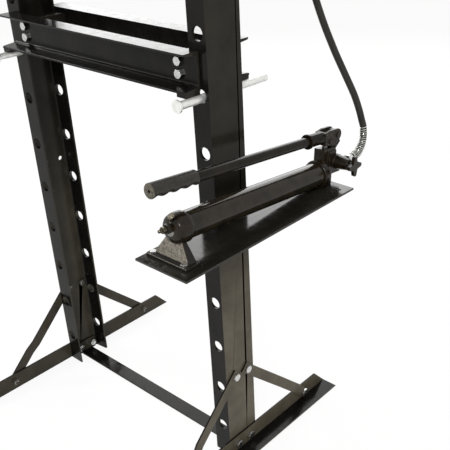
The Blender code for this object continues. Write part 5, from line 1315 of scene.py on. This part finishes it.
@dataclass
class Pump:
    """The hand pump on its shelf: tank, front cap, feet, head, release valve and plunger."""

    bench: Bench
    bolts: Fasteners
    shelf_bolt: float = 0.012
    foot_bolt: float = 0.008
    foot_flange: float = 0.0060
    foot_offset: float = -0.0050
    foot_bolt_reach: float = 0.0440
    foot_bolt_row: float = -0.2505
    head_bolt_reach: float = 0.0120
    head_bolt_row: float = 0.2370
    shelf_top: float = 0.700
    shelf_wall: float = 0.0050
    fulcrum_place: float = 0.0750
    fulcrum_height: float = 0.0894
    tank_radius: float = 0.0285
    tank_ends: tuple[float, float] = (-0.0220, 0.4240)
    cap_radius: float = 0.0325
    cap_back: float = 0.4080
    cap_face: float = 0.4470
    cap_face_radius: float = 0.0117
    cap_shoulder: float = 0.0270
    bare_depth: float = 0.0032
    bare_radius: float = 0.0150
    vent_height: float = 0.0065
    vent_radius: float = 0.0050
    filler_place: float = 0.4380
    filler_height: float = 0.0245
    boss_place: float = 0.0738
    boss_height: float = 0.0245
    boss_end: float = 0.0560
    plunger_place: float = 0.0465
    plunger_pin_height: float = 0.0785
    column_top: float = 0.0610
    lug_half: float = 0.0070
    fork_half: float = 0.0150

    def __post_init__(self) -> None:
        """Find the pump's own frame from the places and directions of its joints."""
        joints = {joint["name"]: joint for joint in self.bench.frame["joints"]}
        up = Vector(joints["plunger_stroke"]["axis"]).normalized()
        fulcrum = Vector(joints["handle_lift"]["pos_m"])
        back = up.cross(OUTER_X)
        origin = fulcrum - back * self.fulcrum_place - up * self.fulcrum_height
        self.place = frame_at(origin, OUTER_X, back)
        self.centre_x = origin.x

    def build(self) -> None:
        """Shape and dress every piece of the pump but its handle."""
        self.make_shelf()
        self.make_tank()
        self.make_cap()
        self.make_vent()
        self.make_feet()
        self.make_valve()
        self.make_plunger()

    def make_shelf(self) -> None:
        """Dress the bent shelf plate and its bolts."""
        self.bench.refined("pump_shelf", SHELF_PAINT, 0.8 * MM)
        for place in ("front", "rear"):
            self.bolts.fix_node("shelf_bolt_" + place, self.shelf_bolt, OUTER_X)

    def make_tank(self) -> None:
        """Turn the tank, a plain drawn tube."""
        forward = self.place @ along((0, 0, 0), (0, -1, 0))
        wall = 3 * MM
        start, end = self.tank_ends
        tank = self.bench.turn("tank_tube", [
            (self.tank_radius - wall, start), (self.tank_radius, start), (self.tank_radius, end),
            (self.tank_radius - wall, end),
        ], forward, Ends.BORED, 96)
        self.bench.dress(tank, PUMP_PAINT, "frame", ("pump_tank",))

    def make_cap(self) -> None:
        """Turn the domed front cap, spot-face it for the filler screw and drill it for the vent."""
        forward = self.place @ along((0, 0, 0), (0, -1, 0))
        hole = self.tank_radius + 0.4 * MM
        tank_end = self.tank_ends[1] + GAP
        shoulder = self.cap_face - self.cap_shoulder
        dome = []
        knots = ((1.0, 1.0), (0.985, 0.76), (0.945, 0.52), (0.90, 0.34), (0.82, 0.225), (0.73, 0.155), (0.63, 0.11))
        for wide, deep in knots:
            dome.append((self.cap_radius * wide, self.cap_face - self.cap_shoulder * deep))
        cap = self.bench.turn("front_cap", [
            (hole, tank_end), (hole, self.cap_back), (self.cap_radius - 2.5 * MM, self.cap_back),
            (self.cap_radius, self.cap_back + 5 * MM), (self.cap_radius, shoulder - 2 * MM),
        ] + dome + [(self.cap_face_radius, self.cap_face)], forward, sides=96)
        filler = self.place @ along((0, -self.filler_place, self.filler_height), (0, -1, 1))
        spot_face = self.bench.turn("spot_face", [
            (0.0048, -0.010), (0.0048, 0), (0.0100, 0), (0.0100, 0.012),
        ], filler, sides=64)
        self.bench.cut(cap, spot_face)
        vent = self.place @ along((0, 0, self.vent_height), (0, -1, 0))
        drill = self.bench.turn("vent_drill", [
            (self.vent_radius + GAP, tank_end - 4 * MM), (self.vent_radius + GAP, self.cap_face + 4 * MM),
        ], vent, sides=48)
        self.bench.cut(cap, drill)
        self.bench.two_finishes(cap, CAST_PAINT)
        self.bench.round_edges(cap, 0.5 * MM, 2)
        cap.data.materials.append(material(TURNED_STEEL))
        face_plane = forward.inverted()
        for face in cap.data.polygons:
            spot = face_plane @ face.center
            bare = spot.z > self.cap_face - self.bare_depth or (face.normal - filler.col[2].to_3d()).length < 0.2
            if bare and math.hypot(spot.x, spot.y) < self.bare_radius:
                face.material_index = 2
        self.bench.dress(cap, CAST_PAINT, "frame", ("pump_front_cap",))
        screw = self.bench.hexagon("filler_plug_head", 0.0150, GAP, 0.0075)
        shank = self.bench.turn("filler_shank", [(0.0045, -0.008), (0.0045, 1 * MM)], sides=32)
        crown = self.bench.turn("filler_crown", [
            (0.0052, 0.0070), (0.0052, 0.0079), (0.0045, 0.0084),
        ], sides=48)
        self.bench.join(screw, shank, crown)
        self.bench.settle(screw, filler)
        self.bench.two_finishes(screw, OILED_STEEL)
        self.bench.dress(screw, OILED_STEEL, "filler", ("filler_screw",))

    def make_vent(self) -> None:
        """Shape the lock nut on the cap's face and the vent fitting that is screwed through it."""
        vent = self.place @ along((0, 0, self.vent_height), (0, -1, 0))
        start = self.cap_face + GAP
        nut_end = start + 0.0105
        nut = self.bench.hexagon("vent_lock_nut", 0.0180, start, nut_end, both=True)
        drill = self.bench.turn("nut_drill", [(0.0053, start - MM), (0.0053, nut_end + MM)], sides=48)
        self.bench.cut(nut, drill)
        self.bench.settle(nut, vent)
        self.bench.two_finishes(nut, CAST_PAINT)
        self.bench.dress(nut, CAST_PAINT, "frame", ("vent_nut",))
        hex_start = nut_end + GAP
        hex_end = hex_start + 0.0090
        body = self.bench.turn("vent_breather", [
            (self.vent_radius, self.tank_ends[1] + GAP), (self.vent_radius, hex_start + MM),
        ], sides=48)
        head = self.bench.hexagon("vent_hexagon", 0.0125, hex_start, hex_end, both=True)
        tip = self.bench.turn("vent_tip", [
            (0.0035, hex_end - MM), (0.0035, hex_end + 2.4 * MM), (0.0030, hex_end + 2.8 * MM),
            (0.0030, hex_end + 3.6 * MM), (0.0035, hex_end + 4.0 * MM), (0.0035, hex_end + 7.2 * MM),
            (0.0028, hex_end + 8.0 * MM),
        ], sides=48)
        self.bench.join(body, head, tip)
        self.bench.settle(body, vent)
        self.bench.dress(body, OILED_STEEL, "frame", ("vent_fitting",))

    def make_feet(self) -> None:
        """Give the front foot and the pump head the soft corners of castings, and fit their bolts."""
        foot = self.bench.from_solid("front_foot_casting", "pump_front_foot")
        self.bench.soften(foot, 0.7 * MM, 2)
        foot.data.materials.append(material(ROUGH_CAST))
        foot.data.materials.append(material(SHADE_DARK_CAST))
        # Faces turned up to the front or the left stay raw iron; all other faces get the near-black iron as painted
        # shade.
        for face in foot.data.polygons:
            bare = face.normal.z > 0.08 and (face.normal.y < -0.12 or face.normal.x < -0.3)
            face.material_index = 0 if bare and face.normal.x < 0.35 else 1
        self.bench.dress(foot, ROUGH_CAST, "frame", ("pump_front_foot",), smooth=60)
        head = self.bench.from_solid("pump_head_casting", "pump_head")
        self.bench.soften(head, 0.8 * MM, 3)
        self.bench.dress(head, CAST_PAINT, "frame", ("pump_head",), smooth=60)
        seat_height = self.shelf_top + GAP + self.foot_flange
        for side, name in ((-1, "left"), (1, "right")):
            seat = Vector((self.centre_x + self.foot_offset + side * self.foot_bolt_reach, self.foot_bolt_row,
                           seat_height))
            grip = self.foot_flange + GAP + self.shelf_wall
            self.bolts.fix(f"front_foot_bolt_{name}", seat, Vector((0, 0, 1)), self.foot_bolt, grip, "frame")
            below = Vector((self.centre_x + side * self.head_bolt_reach, self.head_bolt_row,
                            self.shelf_top - self.shelf_wall))
            self.bolts.fix(f"head_bolt_{name}", below, Vector((0, 0, -1)), self.foot_bolt, None, "frame")

    def make_valve(self) -> None:
        """Turn the valve stem and ease the star knob's edges."""
        place = self.place @ along((0, self.boss_place, self.boss_height), OUTER_X)
        stem = self.bench.turn("valve_stem", [
            (0.0050, self.boss_end - 0.018), (0.0050, self.boss_end + 2 * MM - GAP),
        ], place, sides=48)
        self.bench.dress(stem, ZINC_PLATE, "release_valve", ("release_stem",))
        self.bench.refined("release_knob", CAST_PAINT, 1.6 * MM, 3)

    def make_plunger(self) -> None:
        """Shape the plunger, its pin and the gland nut on the column."""
        self.bench.refined("pump_plunger", TURNED_STEEL, 0.4 * MM)
        pin = self.place @ along((0, self.plunger_place, self.plunger_pin_height), OUTER_X)
        self.make_rivet("plunger_cross_pin", RUBBED_CAST, 0.0040, self.fork_half + GAP, pin, "plunger", "plunger_pin")
        low = self.column_top + GAP
        nut = self.bench.hexagon("plunger_gland", 0.0240, low, low + 0.0050, both=False)
        drill = self.bench.turn("gland_drill", [(0.0068, low - MM), (0.0068, low + 6 * MM)], sides=48)
        self.bench.cut(nut, drill)
        self.bench.settle(nut, self.place @ Matrix.Translation((0, self.plunger_place, 0)))
        self.bench.dress(nut, TURNED_STEEL, "frame", ("plunger_gland_nut",))

    def make_rivet(self, name: str, finish: Finish, radius: float, half: float, place: Matrix, body: str,
                   node: str) -> None:
        """Turn a cross pin with a flat head and a centre dimple at each end.

        Args:
            name: The piece's name.
            finish: Its finish.
            radius: The pin's radius.
            half: Half the length between its heads.
            place: Its middle, with its axis along the place's Z.
            body: The body that it rides on.
            node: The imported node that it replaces.
        """
        head = radius * 1.35
        end = half + 3 * MM
        dimple = radius * 0.45
        pin = self.bench.turn(name, [
            (dimple * 0.5, -end + 1.6 * MM), (dimple, -end), (head - 0.5 * MM, -end), (head, -end + 0.5 * MM),
            (head, -half), (radius, -half), (radius, half), (head, half), (head, end - 0.5 * MM),
            (head - 0.5 * MM, end), (dimple, end), (dimple * 0.5, end - 1.6 * MM),
        ], place, sides=48)
        self.bench.dress(pin, finish, body, (node,))


@dataclass
class Handle:
    """The pump handle: forked beam, tube, moulded grip and the pin it swings on."""

    bench: Bench
    pump: Pump
    tube_drop: float = 0.0023
    tilt_degrees: float = 0.6
    tube_radius: float = 0.0115
    tube_wall: float = 0.0025
    socket_start: float = 0.0500
    tube_end: float = 0.5630
    grip_radius: float = 0.0155
    grip_back: float = 0.4530
    grip_end: float = 0.5695
    grip_hole: float = 0.0030
    grip_scallop: float = 0.0035
    grip_fingers: int = 4
    grip_sides: int = 64
    stations_a_finger: int = 16
    rubbed_from: float = 0.236

    def build(self) -> None:
        """Shape and dress the beam, the tube, the grip and the fulcrum pin."""
        beam = self.bench.from_solid("forked_beam", "handle_beam")
        self.bench.soften(beam, 0.6 * MM, 3)
        beam.data.materials.append(material(BEAM_PAINT))
        beam.data.materials.append(material(RUBBED_CAST))
        for face in beam.data.polygons:
            face.material_index = 1 if abs(face.normal.x) > 0.93 and face.center.y > self.rubbed_from else 0
        self.bench.dress(beam, BEAM_PAINT, "handle", ("handle_beam",), smooth=60)
        pivot = self.pump.place @ Matrix.Translation((0, self.pump.fulcrum_place, self.pump.fulcrum_height))
        tilt = math.radians(self.tilt_degrees)
        forward = pivot @ along((0, 0, -self.tube_drop), (0, -math.cos(tilt), math.sin(tilt)))
        bore = self.tube_radius - self.tube_wall
        start = self.socket_start + 2 * GAP
        tube = self.bench.turn("lever_tube", [
            (bore, start), (self.tube_radius, start), (self.tube_radius, self.tube_end), (bore, self.tube_end),
        ], forward, Ends.BORED, 64)
        self.bench.dress(tube, HANDLE_PAINT, "handle", ("handle_tube",))
        self.make_grip(forward)
        rivet = pivot @ along((0, 0, 0), OUTER_X)
        half = self.pump.fork_half + GAP
        self.pump.make_rivet("fulcrum_cross_pin", CAST_PAINT, 0.0050, half, rivet, "handle", "fulcrum_pin")

    def make_grip(self, forward: Matrix) -> None:
        """Turn the grip, press finger dips into its lower side and scuff its end.

        Args:
            forward: The tube's axis, with Z towards the handle's end.
        """
        bore = self.tube_radius + GAP
        floor = self.tube_end + GAP
        count = self.grip_fingers * self.stations_a_finger
        length = self.grip_end - self.grip_back
        stations = [(self.grip_hole, self.grip_end), (self.grip_hole, floor), (bore, floor), (bore, self.grip_back),
                    (self.grip_radius - 2 * MM, self.grip_back)]
        for index in range(1, count):
            stations.append((self.grip_radius, self.grip_back + length * index / count))
        stations += [(self.grip_radius - 0.6 * MM, self.grip_end - 0.6 * MM),
                     (self.grip_radius - 2 * MM, self.grip_end)]
        grip = self.bench.turn("lever_grip", stations, ends=Ends.BORED, sides=self.grip_sides)
        down = forward.to_3x3().inverted() @ Vector((0, 0, -1))
        lower = math.atan2(down.y, down.x)
        for vertex in grip.data.vertices:
            self.press_finger(vertex, lower, length)
        self.bench.settle(grip, forward)
        grip.data.materials.append(material(GRIP_VINYL))
        grip.data.materials.append(material(GRIP_END))
        axis = forward.to_3x3() @ Vector((0, 0, 1))
        for face in grip.data.polygons:
            inside = (face.center - forward.translation).dot(axis) > self.grip_end - 1.2 * MM
            face.material_index = 1 if inside and face.normal.dot(axis) > 0.4 else 0
        self.bench.dress(grip, GRIP_VINYL, "handle", ("handle_grip",))

    def press_finger(self, vertex: bpy.types.MeshVertex, lower: float, length: float) -> None:
        """Move one point of the grip's skin into its finger dip.

        Args:
            vertex: The point, in the grip's own frame.
            lower: The direction of the grip's lower side round its axis, in radians.
            length: The grip's length.
        """
        radius = math.hypot(vertex.co.x, vertex.co.y)
        if radius < self.grip_radius - 2.5 * MM:
            return
        share = (vertex.co.z - self.grip_back) / length
        wave = (1 - math.cos(2 * math.pi * share * self.grip_fingers)) / 2
        facing = max(0.0, math.cos(math.atan2(vertex.co.y, vertex.co.x) - lower))
        shrink = 1 - self.grip_scallop * wave * facing / radius
        vertex.co.x *= shrink
        vertex.co.y *= shrink


@dataclass
class Hose:
    """The hydraulic hose from the pump's port up to the cylinder's elbow, with its guard spring."""

    bench: Bench
    pump: Pump
    radius: float = 0.0085
    port_place: float = 0.0340
    port_height: float = 0.0300
    port_back: float = 0.0915
    nipple_across: float = 0.0190
    nipple_length: float = 0.0070
    ferrule_radius: float = 0.0100
    ferrule_length: float = 0.0090
    guard_wire: float = 0.0020
    guard_length: float = 0.0960
    guard_curls: int = 18
    elbow_radius: float = 0.0115
    elbow_reach: float = 0.0200
    route_parts: int = 12
    route: tuple[tuple[float, float, float], ...] = (
        (0.4460, 0.3407, 0.7570),
        (0.4460, 0.3570, 0.7740),
        (0.4455, 0.3630, 0.7950),
        (0.4430, 0.3635, 0.8165),
        (0.4385, 0.3628, 0.8310),
        (0.4314, 0.3600, 0.8569),
        (0.4196, 0.3540, 0.8924),
        (0.3985, 0.3450, 0.9386),
        (0.3720, 0.3330, 0.9980),
        (0.3440, 0.3180, 1.0750),
        (0.3180, 0.3000, 1.1750),
        (0.2970, 0.2840, 1.2900),
        (0.2810, 0.2690, 1.4100),
        (0.2700, 0.2580, 1.5300),
        (0.2590, 0.2470, 1.6400),
        (0.2400, 0.2300, 1.7400),
        (0.2080, 0.2010, 1.8250),
        (0.1600, 0.1560, 1.8740),
        (0.1020, 0.1000, 1.8700),
    )

    def build(self) -> None:
        """Shape and dress the fittings, the hose and its guard spring."""
        line = self.middle_line()
        hose = self.bench.curve("pressure_hose", line, self.radius, 6)
        self.bench.dress(hose, HOSE_RUBBER, "frame", ("hydraulic_hose",))
        guard = self.wind_guard(line)
        self.make_end_fitting()
        self.make_elbow()

    def middle_line(self) -> list[Vector]:
        """Give the hose's middle line: straight out of the fitting, round the route, into the elbow.

        Returns:
            The points from the pump to the elbow.
        """
        start = self.port_back + GAP + self.nipple_length + self.ferrule_length + GAP
        first = self.pump.place @ Vector((self.port_place, start, self.port_height))
        straight = self.pump.place.to_3x3() @ Vector((0, self.radius, 0))
        out = Vector((1, 1, 0)).normalized()
        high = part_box("port_elbow")[1].z
        reach = self.elbow_reach + self.ferrule_length + GAP
        last = Vector((0, 0, high - self.elbow_radius)) + out * reach
        knots = [first + straight] + [Vector(spot) for spot in self.route] + [last + out * self.radius * 2]
        return [first] + self.smooth(knots) + [last]

    def smooth(self, knots: list[Vector]) -> list[Vector]:
        """Draw a smooth curve through the knots.

        Args:
            knots: The points of the route.

        Returns:
            The points of the curve, a dozen for each stretch.
        """
        padded = [knots[0] * 2 - knots[1]] + knots + [knots[-1] * 2 - knots[-2]]
        line = []
        for index in range(len(knots) - 1):
            before, start, end, after = padded[index:index + 4]
            for part in range(self.route_parts):
                t = part / self.route_parts
                spot = 2 * start + (end - before) * t + (2 * before - 5 * start + 4 * end - after) * t ** 2
                spot += (3 * start - before - 3 * end + after) * t ** 3
                line.append(spot / 2)
        return line + [knots[-1]]

    def wind_guard(self, line: list[Vector]) -> bpy.types.Object:
        """Wind the guard spring round the hose's first stretch.

        Args:
            line: The hose's middle line.

        Returns:
            The guard spring.
        """
        coil = self.radius + 0.6 * MM + self.guard_wire / 2
        steps = 24
        total = self.guard_curls * steps
        start = self.guard_wire / 2 + GAP
        side = OUTER_X
        points = []
        for index in range(total + 1):
            spot, tangent = self.walk(line, start + self.guard_length * index / total)
            side = (side - tangent * side.dot(tangent)).normalized()
            up = tangent.cross(side)
            angle = 2 * math.pi * index / steps
            points.append(spot + (side * math.cos(angle) + up * math.sin(angle)) * coil)
        guard = self.bench.wire("hose_guard_coil", points, self.guard_wire / 2)
        return self.bench.dress(guard, ZINC_WIRE, "frame", ("hose_guard_spring",))

    def walk(self, line: list[Vector], distance: float) -> tuple[Vector, Vector]:
        """Give the place and the direction at a distance along a line.

        Args:
            line: The points of the line.
            distance: The distance from its start.

        Returns:
            The place and the direction there.
        """
        for first, second in zip(line, line[1:]):
            step = second - first
            if distance <= step.length:
                break
            distance -= step.length
        return first.lerp(second, distance / step.length), step.normalized()

    def make_end_fitting(self) -> None:
        """Shape the hexagon nipple in the pump's port with the crimped ferrule on the hose."""
        port = self.pump.place @ along((self.port_place, 0, self.port_height), (0, 1, 0))
        start = self.port_back + GAP
        crimp = start + self.nipple_length
        nipple = self.bench.hexagon("hose_nipple", self.nipple_across, start, crimp, both=True)
        shank = self.bench.turn("nipple_shank", [(0.0050, self.port_back - 0.0070), (0.0050, start + MM)], sides=48)
        ferrule = self.ferrule("nipple_ferrule", crimp)
        self.bench.join(nipple, shank, ferrule)
        self.bench.settle(nipple, port)
        self.bench.dress(nipple, ZINC_PLATE, "frame", ("hose_end_fitting",))

    def ferrule(self, name: str, start: float) -> bpy.types.Object:
        """Turn a ferrule with two crimped grooves.

        Args:
            name: The piece's name.
            start: The height where it begins.

        Returns:
            The ferrule, on the Z axis.
        """
        radius = self.ferrule_radius
        end = start + self.ferrule_length
        stations = [(radius - 0.6 * MM, start - 0.5 * MM), (radius, start + 0.6 * MM)]
        for share in (0.34, 0.66):
            middle = start + self.ferrule_length * share
            stations += [(radius, middle - 1.1 * MM), (radius - 0.6 * MM, middle - 0.5 * MM),
                         (radius - 0.6 * MM, middle + 0.5 * MM), (radius, middle + 1.1 * MM)]
        stations += [(radius, end - 0.5 * MM), (radius - 0.5 * MM, end)]
        return self.bench.turn(name, stations, sides=64)

    def make_elbow(self) -> None:
        """Shape the elbow that takes the hose into the cylinder's cap."""
        low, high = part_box("port_elbow")
        cap_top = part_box("cylinder_cap")[1].z
        arm_height = high.z - self.elbow_radius
        post = self.bench.turn("elbow_body", [
            (0.0080, low.z), (0.0080, cap_top + GAP), (self.elbow_radius, cap_top + GAP),
            (self.elbow_radius, high.z - 2 * MM), (self.elbow_radius - 2 * MM, high.z),
        ], sides=64)
        arm_place = along((0, 0, arm_height), (1, 1, 0))
        arm_radius = self.elbow_radius * 0.9
        arm = self.bench.turn("elbow_arm", [(arm_radius, 0), (arm_radius, self.elbow_reach)], arm_place, sides=64)
        self.bench.cut(post, arm, "UNION")
        ferrule = self.ferrule("elbow_ferrule", self.elbow_reach)
        self.bench.settle(ferrule, arm_place)
        self.bench.round_edges(post, 0.5 * MM, 2)
        self.bench.join(post, ferrule)
        self.bench.dress(post, ZINC_PLATE, "frame", ("port_elbow",))


def main() -> None:
    """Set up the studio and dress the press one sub-assembly at a time."""
    logging.basicConfig(level=logging.INFO, format="%(message)s")
    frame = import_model()
    bpy.ops.object.select_all(action="DESELECT")
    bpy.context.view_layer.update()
    PhotoCamera().set_up()
    bench = Bench(frame)
    bolts = Fasteners(bench)
    pump = Pump(bench, bolts)
    Hose(bench, pump).build()
    Studio().set_up()
    PressFrame(bench, bolts).build()
    Cylinder(bench, bolts).build()
    Bed(bench, bolts).build()
    pump.build()
    Handle(bench, pump).build()


if __name__ == "__main__":
    main()
